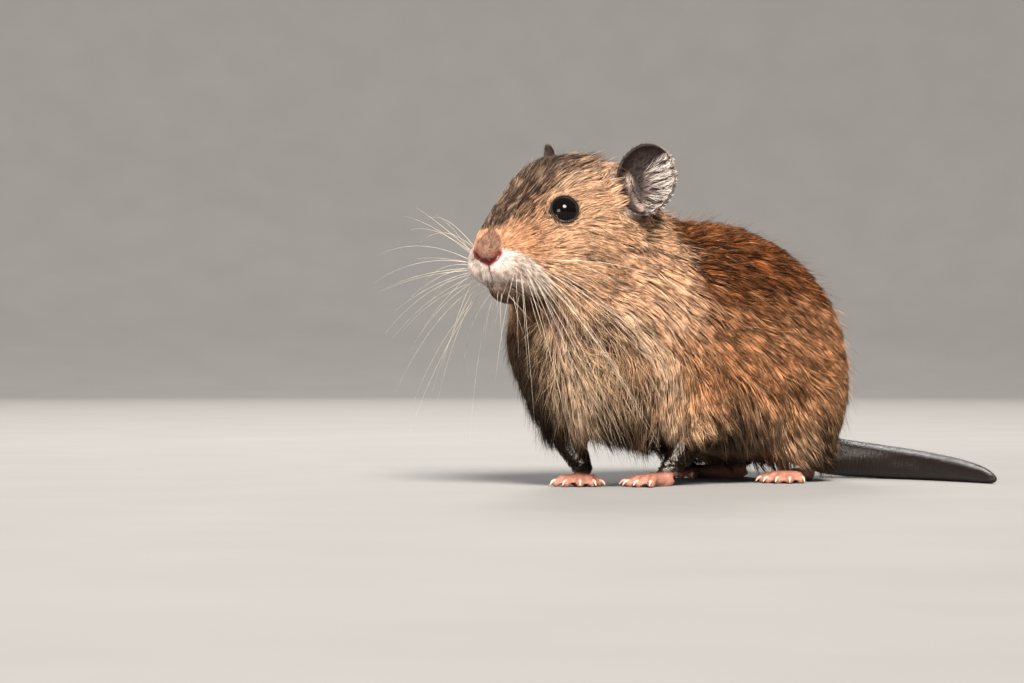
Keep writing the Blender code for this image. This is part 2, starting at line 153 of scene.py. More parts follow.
def closed_rings(bm, rings):
    loops = [[bm.verts.new(Vector(p) * MM) for p in ring] for ring in rings]
    bridge(bm, loops)
    for loop in (loops[0], loops[-1]):
        fan(bm, loop, bm.verts.new(sum((v.co for v in loop), Vector()) / len(loop)))


def add_tube(bm, path, sides=16, steps=5, extra=0.0, shift=(0.0, 0.0, 0.0)):
    """A round-ended tube along path, a list of (point, radius)."""
    rows = spline([(*point, radius + extra) for point, radius in path], steps)
    centres = [Vector(row[:3]) + Vector(shift) for row in rows]
    last = len(rows) - 1
    rings = []
    for i, row in enumerate(rows):
        along = (centres[min(i + 1, last)] - centres[max(i - 1, 0)]).normalized()
        across = along.cross(Vector((0.0, 0.0, 1.0)))
        if across.length < 0.2:
            across = along.cross(Vector((0.0, 1.0, 0.0)))
        across.normalize()
        up = across.cross(along)
        for end in {0: (-0.97, -0.8, -0.5, 0.0), last: (0.0, 0.5, 0.8, 0.97)}.get(i, (0.0,)):
            radius = row[3] * math.sqrt(1.0 - end * end)
            middle = centres[i] + along * row[3] * end
            rings.append([middle + (across * c + up * s) * radius for c, s in circle(sides)])
    closed_rings(bm, rings)


def add_ball(bm, centre, radius, segments=32):
    matrix = Matrix.Translation(Vector(centre) * MM)
    bmesh.ops.create_uvsphere(
        bm, u_segments=segments, v_segments=segments // 2, radius=radius * MM, matrix=matrix
    )


def add_object(name, data):
    obj = bpy.data.objects.new(name, data)
    bpy.context.scene.collection.objects.link(obj)
    return obj


def new_object(name, bm):
    bmesh.ops.recalc_face_normals(bm, faces=bm.faces)
    data = bpy.data.meshes.new(name)
    bm.to_mesh(data)
    bm.free()
    return add_object(name, data)


def apply_modifiers(obj):
    graph = bpy.context.evaluated_depsgraph_get()
    data = bpy.data.meshes.new_from_object(obj.evaluated_get(graph), depsgraph=graph)
    obj.modifiers.clear()
    old, obj.data = obj.data, data
    bpy.data.meshes.remove(old)


def finish_surface(obj, look):
    obj.data.polygons.foreach_set("use_smooth", np.ones(len(obj.data.polygons), bool))
    obj.data.materials.clear()
    obj.data.materials.append(look)


def read(items, field, width, kind=np.float32):
    """A field of all the items of a mesh, in rows."""
    flat = np.empty(len(items) * width, kind)
    items.foreach_get(field, flat)
    return flat.reshape(-1, width)


def points_of(obj):
    return read(obj.data.vertices, "co", 3).astype(float) / MM


def set_points(obj, points):
    obj.data.vertices.foreach_set("co", (points * MM).astype(np.float32).ravel())
    obj.data.update()


def normals_of(obj):
    return read(obj.data.vertex_normals, "vector", 3).astype(float)


def triangles_of(data):
    data.calc_loop_triangles()
    return read(data.loop_triangles, "vertices", 3, np.int32)


def set_attribute(obj, name, kind, values):
    attribute = obj.data.attributes.new(name, kind, "POINT")
    field = {"FLOAT": "value", "FLOAT_VECTOR": "vector", "FLOAT_COLOR": "color"}[kind]
    if kind == "FLOAT_COLOR":
        values = np.column_stack((values, np.ones(len(values))))
    attribute.data.foreach_set(field, np.ascontiguousarray(values, np.float32).ravel())


def smooth(obj, points, weight, rounds):
    """Moves each point towards the mean of its neighbours, by its weight, a number of times."""
    a, b = read(obj.data.edges, "vertices", 2, np.int32).T
    count = len(points)
    degree = np.maximum(np.bincount(a, minlength=count) + np.bincount(b, minlength=count), 1)
    for _ in range(rounds):
        mean = np.empty_like(points)
        for axis in range(3):
            column = points[:, axis]
            total = np.bincount(a, column[b], count) + np.bincount(b, column[a], count)
            mean[:, axis] = total / degree
        points = points + (mean - points) * (0.6 * weight)[:, None]
    return points


def distance_to(points, nodes, reach):
    """How far points lie from the surfaces of some nodes, at most reach."""
    result = np.full(len(points), float(reach))
    for node in nodes:
        low, high = (np.array(corner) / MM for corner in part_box(node))
        near = np.flatnonzero(((points > low - reach) & (points < high + reach)).all(1))
        tree = BVHTree.FromPolygons(
            [v.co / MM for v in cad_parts[node].data.vertices],
            [tuple(p.vertices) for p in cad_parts[node].data.polygons],
        )
        for i in near:
            found = tree.find_nearest(points[i], reach)
            if found[0] is not None:
                result[i] = min(result[i], found[3])
    return result


# ---------------------------------------- places, from the frame


def middle_of(node):
    low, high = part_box(node)
    return np.array((low + high) / 2) / MM


NOSE = middle_of("nose")
EYES = {1: middle_of("eye_left"), -1: middle_of("eye_right")}
EYE_RADIUS = (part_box("eye_left")[1].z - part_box("eye_left")[0].z) / 2 / MM

# The head's own axes, from its middle: across to its left, back, and up.
ACROSS = unit(EYES[1] - EYES[-1])
UP = np.array((0.0, 0.0, 1.0))
HEAD = np.array((ACROSS, np.cross(UP, ACROSS), UP))


def to_head(points):
    """Places in the head's axes, from the middle of the nose."""
    return (points - NOSE) @ HEAD.T


def from_head(points):
    return np.asarray(points, float) @ HEAD + NOSE


def eye_gap(points):
    """Distance from the middle of the nearer eye."""
    return distance_to_points(points, np.array(list(EYES.values())))


# ---------------------------------------- driving dimensions

GROWTH = 0.27  # by which the solids grow to close the gaps between them
VOXEL = 0.25
SKIN_TRIANGLES = 186_000

# Ears in the head's axes, for the left side. These are the sizes of the ears' solids.
EAR_CENTRES = {1: (13.4, 22.4, 11.9), -1: (13.2, 22.6, 13.3)}
EAR_ROOT = (8.6, 21.4, 7.5)
EAR_HALF_WIDTH, EAR_HALF_HEIGHT = 4.9, 6.0
EAR_FACING = (0.64, -0.74, 0.16)
EAR_TILT = math.radians(12.0)
EAR_THICKNESS = 0.42
EAR_EDGE = 0.15  # how far inside the solid's oval the cup's middle layer ends
EAR_RINGS, EAR_SIDES = 16, 60

# Ridges in the ear's cup: places towards the face, up and outward from its middle, and radii.
EAR_RIDGES = [
    [((3.3, 0.9, -2.3), 0.35), ((2.9, -0.6, -2.2), 0.6), ((2.2, -2.3, -2.1), 0.55),
     ((1.3, -3.7, -2.1), 0.6), ((0.2, -4.6, -1.9), 0.35)],
    [((4.3, -1.2, -2.2), 0.45), ((3.9, -2.8, -1.9), 0.6), ((2.9, -4.3, -1.9), 0.5)],
]
# Where the folds in the ear's cup catch the light, in the head's axes.
EAR_SPOTS = np.array(((10.0, 22.2, 11.5), (12.1, 22.6, 7.6)))
EAR_SHADOW = (8.6, 28.3, 5.2)  # the shade behind the ear, in the head's axes

# Paws and tail, in the plan that the solids were laid out in. PLAN is that plan's origin here.
PLAN = np.array((-11.3, -12.0, 0.0))
FORE_PAW = {"sole": 3.5, "spread": 1.9, "height": 2.7, "toe": 3.8, "toe_radius": 0.68}
HIND_PAW = {"sole": 11.0, "spread": 1.9, "height": 3.0, "toe": 4.4, "toe_radius": 0.72}
FORE_TOES = [(-64.0, 0.55), (-34.0, 0.9), (-10.0, 1.0), (14.0, 1.0), (40.0, 0.85)]
HIND_TOES = [(-42.0, 0.75), (-18.0, 1.0), (0.0, 1.05), (18.0, 1.0), (42.0, 0.75)]
PAWS = {
    "forefoot_left": ((6.9, 2.6), -12.0, FORE_PAW, FORE_TOES, 1),
    "forefoot_right": ((-5.2, -5.2), 32.0, FORE_PAW, FORE_TOES, -1),
    "hindfoot_left": ((8.4, 37.6), 20.0, HIND_PAW, HIND_TOES, 1),
    "hindfoot_right": ((-9.6, 41.6), -12.0, HIND_PAW, HIND_TOES, -1),
}
SOLE_HEIGHT = 1.15
# Along a toe: the share of its length, the height, and the share of the toe's radius.
TOE = ((0.30, 1.35, 0.98), (0.52, 1.40, 1.10), (0.76, 1.0, 0.9))
TOE_END = 0.97
# Along a claw: how many of the toe's radii it is past the toe's end, its height and its radius.
CLAW = ((0.4, 1.0, 0.33), (1.1, 0.92, 0.27), (1.6, 0.64, 0.17), (1.95, 0.34, 0.06))
TAIL = [
    ((0.0, 36.0, 11.0), 3.7), ((0.8, 43.0, 6.6), 3.6), ((4.5, 49.0, 4.0), 3.4),
    ((12.0, 52.2, 3.1), 3.05), ((22.0, 52.6, 2.5), 2.55), ((31.0, 50.8, 1.95), 2.0),
    ((37.0, 48.8, 1.4), 1.45), ((40.5, 47.2, 0.8), 0.8),
]

LID_ANGLE = 57.0  # from the eye's axis to the lid's edge, about the middle of the eye
LID_RING = 8.0
LID_END = 40.0
LID_HEIGHT = 0.16

# The front of the muzzle as a map: across it, and up from the middle of the nose. The nose is
# turned a little to its left, about an upright axis behind it.
NOSE_TURN = math.radians(20.0)
NOSE_HUB = 3.0
NOSE_REACH = 4.7
NOSTRIL = [(0.25, -1.75), (0.9, -1.6), (1.7, -1.15), (2.3, -0.35)]
NOSE_GROOVE = [(0.0, 0.2), (0.0, -1.6)]
PHILTRUM = [(0.0, -1.7), (0.0, -5.2)]
# What is pressed into the face: a path on the map, how deep it is and half its width.
FACE_LINES = ((NOSTRIL, 0.55, 0.34), (NOSE_GROOVE, 0.06, 0.28), (PHILTRUM, 0.4, 0.34))
MOUTH_DEPTH = 0.45

WHISKER_ROWS = 5
WHISKER_COLUMNS = 6
WHISKER_BOX = np.array(((-38.0, -55.0, 6.0), (16.0, 10.0, 58.0)))  # what the tips stay inside

# ---------------------------------------- the skin's form


def ahead(point, angle, distance, z):
    return (point[0] + math.sin(angle) * distance, point[1] - math.cos(angle) * distance, z)


def paw_lines():
    """The points and radii of all the soles, toes and claws."""
    soles, toes, claws = [], [], []
    for heel, heading, paw, angles, side in PAWS.values():
        straight = math.radians(heading)
        radius = paw["toe_radius"]
        pad = ahead(heel, straight, 0.4, SOLE_HEIGHT)
        knuckle = ahead(heel, straight, paw["sole"], SOLE_HEIGHT)
        soles.append([((*heel, paw["height"] + 0.6), 1.6), (pad, 1.45), (knuckle, 1.3)])
        for angle, share in angles:
            turn = straight + math.radians(angle) * side
            spread = math.sin(math.radians(angle)) * side * paw["spread"]
            root = ahead(knuckle, straight + math.pi / 2, spread, SOLE_HEIGHT)
            length = paw["toe"] * share
            end = length * TOE_END
            toe = [(pad, 1.15), (root, radius * 1.3)]
            toe += [(ahead(root, turn, length * s, z), radius * r) for s, z, r in TOE]
            toes.append([*toe, (ahead(root, turn, end, radius * 0.95), radius * 1.08)])
            claws.append([(ahead(root, turn, end + radius * s, z), r) for s, z, r in CLAW])
    return soles, toes, claws


def tail_rows(steps):
    return np.array([row[:3] for row in spline([(*p, r) for p, r in TAIL], steps)]) + PLAN


def tail_ways(rows, index):
    """The way that the tail runs at some of its rows, towards the tip."""
    last = len(rows) - 1
    return unit(rows[np.minimum(index + 1, last)] - rows[np.maximum(index - 1, 0)])


def ear_frame(side):
    """An ear's middle, root and axes, in the head's axes: towards the face, up, and outward."""
    places = (EAR_CENTRES[side], EAR_ROOT, EAR_FACING)
    centre, root, facing = (np.array((place[0] * side, *place[1:])) for place in places)
    facing = unit(facing)
    across = unit(np.cross(facing, UP)) * side
    return centre, root, np.array((across, np.cross(across, facing) * side, facing))


def nearer_ear(points):
    """The middle and the axes of the ear on each point's side, in the head's axes."""
    left = to_head(points)[:, 0] > 0
    near, far = ear_frame(1), ear_frame(-1)
    centre = np.where(left[:, None], near[0], far[0])
    return centre, np.where(left[:, None, None], near[2], far[2])


def ear_places(points):
    """Places in the axes of the nearer ear, and how far from its middle in shares of its size."""
    centre, axes = nearer_ear(points)
    place = np.einsum("nij,nj->ni", axes, to_head(points) - centre)
    return place, np.hypot(place[:, 0] / EAR_HALF_WIDTH, place[:, 1] / EAR_HALF_HEIGHT)


def ear_shell(side):
    """The oval cup of one ear, as an object with a thickness."""
    centre, root, (across, up, facing) = ear_frame(side)
    depth = (centre - root) @ facing
    cos, sin = math.cos(EAR_TILT), math.sin(EAR_TILT)
    bm = bmesh.new()
    loops = []
    for i in range(1, EAR_RINGS + 1):
        t = i / EAR_RINGS
        spread = math.sin(t * math.pi / 2) ** 0.85
        loop = []
        for c, s in circle(EAR_SIDES):
            a, b = c * (EAR_HALF_WIDTH - EAR_EDGE), s * (EAR_HALF_HEIGHT - EAR_EDGE)
            rim = centre + across * (a * cos - b * sin) + up * (a * sin + b * cos) - facing * depth
            point = root + facing * depth * t**1.7 + (rim - root) * spread
            loop.append(bm.verts.new(Vector(from_head(point)) * MM))
        loops.append(loop)
    fan(bm, loops[0], bm.verts.new(Vector(from_head(root)) * MM))
    bridge(bm, loops)
    ear = new_object("ear_form", bm)
    solid = ear.modifiers.new("Thickness", "SOLIDIFY")
    solid.thickness = (EAR_THICKNESS + 2 * GROWTH) * MM
    solid.offset = 0.0
    apply_modifiers(ear)
    return ear


def ear_folds(bm, side):
    centre, _, axes = ear_frame(side)
    for ridge in EAR_RIDGES:
        path = [(from_head(centre + np.array(spot) @ axes), radius) for spot, radius in ridge]
        add_tube(bm, path, sides=12, extra=GROWTH * 0.5)


def make_form():
    """All flesh as one closed surface, grown by GROWTH."""
    bm = bmesh.new()
    for node in sorted(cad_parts):
        if node.startswith(("ear", "eye", "forefoot", "hindfoot", "tail")):
            continue
        part = bmesh.new()
        part.from_mesh(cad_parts[node].data)
        bmesh.ops.remove_doubles(part, verts=part.verts, dist=1e-6)
        part.normal_update()
        for vertex in part.verts:
            vertex.co += vertex.normal * GROWTH * MM
        grown = bpy.data.meshes.new("grown")
        part.to_mesh(grown)
        part.free()
        bm.from_mesh(grown)
        bpy.data.meshes.remove(grown)
    for side in (1, -1):
        add_ball(bm, EYES[side], EYE_RADIUS + 0.1)
        ear = ear_shell(side)
        bm.from_mesh(ear.data)
        bpy.data.objects.remove(ear)
        ear_folds(bm, side)
    soles, toes, _ = paw_lines()
    for sole in soles:
        add_tube(bm, sole, extra=GROWTH, shift=PLAN)
    for toe in toes:
        add_tube(bm, toe, sides=12, extra=GROWTH, shift=PLAN)
    add_tube(bm, TAIL, sides=32, steps=8, extra=GROWTH, shift=PLAN)
    skin = new_object("skin", bm)
    remesh = skin.modifiers.new("Blend", "REMESH")
    remesh.mode = "VOXEL"
    remesh.voxel_size = VOXEL * MM
    apply_modifiers(skin)
    return skin


def masks_of(points):
    """How much each point belongs to a kind of surface, from 0 to 1."""
    def near(nodes, inner, outer):
        return fade(inner, outer, distance_to(points, nodes, outer))

    masks = {
        "ear": near(("ear_left", "ear_right"), 0.4, 1.1),
        "foot": near(PAWS, 0.4, 1.5),
        "tail": near(("tail_base", "tail_middle", "tail_tip"), 0.4, 1.2),
        "nose": near(("nose",), 0.35, 1.1),
        "fore": near(("foreleg_left", "foreleg_right"), 0.4, 2.0),
        "hind": near(("hindleg_left", "hindleg_right"), 0.4, 2.0),
    }
    place, rim = ear_places(points)
    cup = fade(0.92, 1.04, rim) * ramp(-4.2, -3.4, place[:, 2]) * fade(0.5, 1.0, place[:, 2])
    masks["ear"] = np.maximum(masks["ear"] * ramp(-3.8, -2.4, place[:, 2]), cup)
    height = points[:, 2]
    masks["pink"] = masks["foot"] * fade(1.7, 2.5, height)
    shin = np.maximum.reduce([
        masks["fore"] * fade(9.0, 12.0, height),
        masks["hind"] * fade(3.5, 6.5, height),
        masks["foot"] * fade(4.0, 7.0, height),
    ])
    masks["shin"] = shin * (1.0 - masks["tail"]) * (1.0 - masks["pink"])
    masks["arm"] = masks["fore"] * fade(11.0, 16.0, height)
    return masks


def face_reach(points):
    """Distance from the nose, in which the chest counts as further off than the cheeks."""
    head = to_head(points)
    below = np.maximum(-head[:, 2] - 7.0, 0.0)
    return norm(np.column_stack((head[:, :2], 1.15 * head[:, 2] - 1.3 * below)))


def coat_depth(points, masks):
    """How far the skin lies inside the solids."""
    far = norm(to_head(points))
    depth = 0.25 + 0.75 * ramp(3.0, 16.0, far) + 1.1 * ramp(18.0, 40.0, far)
    depth = mix(depth, 0.3, masks["shin"] * (1.0 - masks["foot"]))
    for bare in ("ear", "foot", "tail", "nose"):
        depth = depth * (1.0 - masks[bare])
    return depth


def thin(obj, keep, target):
    """Fewer triangles, most of them where keep is near 1."""
    group = obj.vertex_groups.new(name="give")
    weights = np.round(1.0 - 0.9 * keep, 2)
    for weight in np.unique(weights):
        group.add(np.flatnonzero(weights == weight).tolist(), float(weight), "REPLACE")
    modifier = obj.modifiers.new("Thin", "DECIMATE")
    modifier.vertex_group = "give"
    modifier.vertex_group_factor = 1.0
    modifier.ratio = target / (2.0 * len(obj.data.polygons))
    apply_modifiers(obj)
    obj.vertex_groups.clear()


def refine(obj, spots):
    """Halves the edges near some spots, each a place and a radius."""
    bm = bmesh.new()
    bm.from_mesh(obj.data)
    bmesh.ops.triangulate(bm, faces=bm.faces)
    points = np.array([v.co for v in bm.verts]) / MM
    near = np.zeros(len(points), bool)
    for centre, radius in spots:
        near |= norm(points - centre) < radius
    bm.verts.index_update()
    edges = [e for e in bm.edges if near[e.verts[0].index] and near[e.verts[1].index]]
    bmesh.ops.subdivide_edges(bm, edges=edges, cuts=1, use_grid_fill=True)
    bmesh.ops.triangulate(bm, faces=bm.faces)
    bm.to_mesh(obj.data)
    bm.free()
    obj.data.update()


def eye_axis(points, normals, side):
    gap = norm(points - EYES[side])
    rim = (gap > EYE_RADIUS + 0.2) & (gap < EYE_RADIUS + 1.6)
    return unit(normals[rim].mean(0))


def about_eye(points, axes):
    """The middle of the nearer eye, distance from it, and degrees from the eye's axis."""
    left = (norm(points - EYES[1]) < norm(points - EYES[-1]))[:, None]
    centre = np.where(left, EYES[1], EYES[-1])
    offset = points - centre
    reach = np.maximum(norm(offset), 1e-6)
    cosine = (offset * np.where(left, axes[1], axes[-1])).sum(1) / reach
    return centre, reach, np.degrees(np.arccos(np.clip(cosine, -1, 1)))


def shape_lids(points, axes):
    """Sets the skin under the eye's ball inside the lid's edge, and lifts a lid around it."""
    centre, reach, angle = about_eye(points, axes)
    inside = fade(LID_ANGLE - 4.0, LID_ANGLE, angle)
    ring_end = LID_ANGLE + LID_RING
    lid = EYE_RADIUS + LID_HEIGHT - 0.1 * ramp(LID_ANGLE + 4.0, ring_end, angle)
    lid = mix(reach, lid, fade(ring_end, LID_ANGLE + LID_END, angle))
    near = (reach < EYE_RADIUS + 4.5) & (angle < LID_ANGLE + LID_END)
    factor = np.where(near, mix(lid, EYE_RADIUS - 0.35, inside) / reach, 1.0)
    return centre + (points - centre) * factor[:, None]


def nose_map(head):
    angle = np.arctan2(head[:, 0], NOSE_HUB - head[:, 1]) - NOSE_TURN
    return np.column_stack((np.abs(NOSE_REACH * angle), head[:, 2]))


def shape_face(points, normals, masks):
    """Presses in the nostrils, the groove below the nose and the mouth's line."""
    front = nose_map(to_head(points))
    pressed = MOUTH_DEPTH * masks["mouth"]
    for path, depth, half in FACE_LINES:
        pressed += depth * glow(near_path(front, path), half)
    return points - normals * pressed[:, None]


def mouth_line(points):
    upper = distance_to(points, ("muzzle", "head"), 2.0)
    lower = distance_to(points, ("lower_jaw",), 2.0)
    return glow(upper - lower, 0.35) * (lower < 1.6) * (to_head(points)[:, 1] < 13)


def make_skin():
    skin = make_form()
    points = points_of(skin)
    masks = masks_of(points)
    toes = masks["foot"] * fade(2.3, 3.4, points[:, 2])
    fine = np.maximum.reduce([masks["ear"], masks["nose"], toes])
    slim = np.maximum(masks["shin"], masks["tail"])
    points = smooth(skin, points, 1.0 - 0.85 * np.maximum(fine, 0.5 * slim), 24)
    set_points(skin, points)
    depth = GROWTH + coat_depth(points, masks)
    points = points - normals_of(skin) * depth[:, None]
    points = smooth(skin, points, 1.0 - np.maximum(fine, slim), 8)
    points[:, 2] = np.maximum(points[:, 2], 0.0)
    set_points(skin, points)

    face = fade(8.0, 16.0, norm(to_head(points)))
    eyes = fade(3.5, 6.0, eye_gap(points))
    thin(skin, np.maximum.reduce([fine, eyes, face, 0.6 * slim]), SKIN_TRIANGLES)
    refine(skin, [(from_head((0.0, -0.6, -0.8)), 3.2), *((c, 3.4) for c in EYES.values())])
    points, normals = points_of(skin), normals_of(skin)
    axes = {side: eye_axis(points, normals, side) for side in EYES}
    points = shape_lids(points, axes)
    set_points(skin, points)
    masks = masks_of(points)
    masks["mouth"] = mouth_line(points)
    set_points(skin, shape_face(points, normals_of(skin), masks))
    return skin, masks, axes


skin, skin_masks, eye_axes = make_skin()


class Surface:
    """The skin, ready to be walked on."""
    def __init__(self, obj, masks):
        self.triangles = triangles_of(obj.data)
        self.points = points_of(obj)
        self.normals = normals_of(obj)
        self.masks = masks
        self.tree = BVHTree.FromPolygons(self.points.tolist(), self.triangles.tolist())
        a, b, c = (self.points[self.triangles[:, i]] for i in range(3))
        self.areas = norm(np.cross(b - a, c - a)) / 2

    def scatter(self, count, density):
        """Random places, with the skin's values there. Density is per vertex."""
        chance = self.areas * density[self.triangles].mean(1)
        total = np.cumsum(chance)
        rows = np.searchsorted(total, rng.random(count) * total[-1])
        a, b = rng.random(count), rng.random(count)
        over = a + b > 1
        a[over], b[over] = 1 - a[over], 1 - b[over]
        weights = np.column_stack((1 - a - b, a, b))[:, :, None]
        corners = self.triangles[rows]
        points = (self.points[corners] * weights).sum(1)
        normals = unit((self.normals[corners] * weights).sum(1))
        masks = {k: (v[corners] * weights[:, :, 0]).sum(1) for k, v in self.masks.items()}
        return points, normals, masks

    def nearest(self, points):
        found = [self.tree.find_nearest(point) for point in points]
        rows = [index for _, _, index, _ in found]
        places = np.array([place for place, _, _, _ in found])
        return places, unit(self.normals[self.triangles[rows]].sum(1))


surface = Surface(skin, skin_masks)


def whisker_roots():
    """Where the whiskers grow, row by row, on the pads of the upper lip."""
    places = []
    for side in (1, -1):
        for row in range(WHISKER_ROWS):
            for column in range(WHISKER_COLUMNS):
                high = row / (WHISKER_ROWS - 1)
                back = column / (WHISKER_COLUMNS - 1)
                root = np.array((side * 6.5, 1.6 + 5.2 * back, -4.4 + 3.6 * high - 0.8 * back))
                places.append(from_head(root + rng.normal(0, 0.15, 3)))
    return surface.nearest(places)[0]


WHISKER_ROOTS = whisker_roots()

# ---------------------------------------- markings, painted shade and painted highlights

def rgb(*values):
    return np.array(values)


SLATE = rgb(0.045, 0.028, 0.018)
BLACK = rgb(0.018, 0.010, 0.006)
BACK_BROWN = rgb(0.190, 0.062, 0.019)
FLANK = rgb(0.465, 0.222, 0.103)
CREAM = rgb(0.84, 0.58, 0.36)
SHADED_BELLY = rgb(0.12, 0.075, 0.047)
SHADED_CHIN = rgb(0.105, 0.066, 0.043)
CHEST = rgb(0.135, 0.080, 0.047)
CHEEK = rgb(0.88, 0.545, 0.335)
PALE = rgb(0.84, 0.595, 0.41)
NAPE = rgb(0.62, 0.385, 0.25)
FOREHEAD = rgb(0.055, 0.034, 0.024)
GRIZZLE = rgb(0.37, 0.250, 0.188)
SNOUT = rgb(0.70, 0.36, 0.185)
LIP = rgb(1.0, 0.85, 0.75)
NOSE_SKIN = rgb(0.21, 0.105, 0.07)
NOSE_HAIR = rgb(0.32, 0.20, 0.135)
FOLLICLE = rgb(0.16, 0.09, 0.06)
NOSTRIL_RED = rgb(0.10, 0.012, 0.010)
EAR_SKIN = rgb(0.050, 0.028, 0.021)
EAR_RIM = rgb(0.22, 0.165, 0.135)
EAR_FOLD = rgb(0.24, 0.17, 0.14)
SILVER = rgb(0.88, 0.79, 0.71)
LID = rgb(0.012, 0.008, 0.007)
LID_REFLECTION = rgb(0.30, 0.22, 0.17)
SHIN = rgb(0.022, 0.012, 0.008)
FOOT = rgb(0.38, 0.165, 0.115)
TAIL_SKIN = rgb(0.013, 0.009, 0.007)

SPINE_X = -11.3  # where the body's middle plane is, behind the head's turn

# Pale lines, as distance from the body's middle plane, y and z: one from the lip down to the
# forefoot on each side, and one down the chest to the right forefoot.
PALE_LINE = [(6.7, -36.0, 34.5), (9.2, -30.5, 32.5), (11.6, -25.5, 30.0), (13.4, -21.6, 25.0),
             (13.6, -18.5, 20.5), (11.2, -14.4, 15.5), (8.9, -10.5, 10.0)]
CHEST_LINE = [(5.0, -30.5, 25.0), (5.5, -29.0, 20.0), (5.2, -26.5, 15.6), (0.4, -20.5, 11.0),
              (-4.0, -17.5, 7.0)]

# The dark stripe over the head: places back from the nose, and the stripe's half-width there.
STRIPE_BACK = (0.6, 2.0, 3.7, 6.0, 9.0, 13.0, 17.0, 24.0)
STRIPE_HALF = (1.4, 3.2, 4.4, 5.8, 6.2, 5.4, 4.2, 2.4)
SHIN_HIGHLIGHT_WAY = (0.5, -0.866, 0.0)  # the way that the painted highlight on the shins faces


def across_body(points):
    """Distance from the body's middle plane, which follows the turn of the head."""
    return points[:, 0] - SPINE_X + 0.105 * np.maximum(-8.0 - points[:, 1], 0.0)


def waves(points, scale, seed):
    """Smooth noise from -1 to 1, as a sum of sine waves of random directions."""
    source = np.random.default_rng(seed)
    total = np.zeros(len(points))
    for _ in range(6):
        direction = source.normal(size=3)
        direction *= source.uniform(0.7, 1.6) / norm(direction) * 2 * math.pi / scale
        total += np.sin(points @ direction + source.uniform(0, 6.28))
    return np.clip(total / 3.0, -1.0, 1.0)


class Layers:
    """The coat's colours at some points: its middle band, its tips and the share of black."""
    def __init__(self, mid, tip, black):
        self.values = [mid, tip, black[:, None]]

    def lay(self, weight, *targets, share=(1.0, 1.0, 1.0)):
        """Blends the middle band, tips and black towards targets, each by its share of weight."""
        for i, target in enumerate(targets):
            if target is not None:
                self.values[i] = blend(self.values[i], target, share[i] * weight)

    def darken(self, shade):
        for i in (0, 1):
            self.values[i] = self.values[i] * shade[:, None]


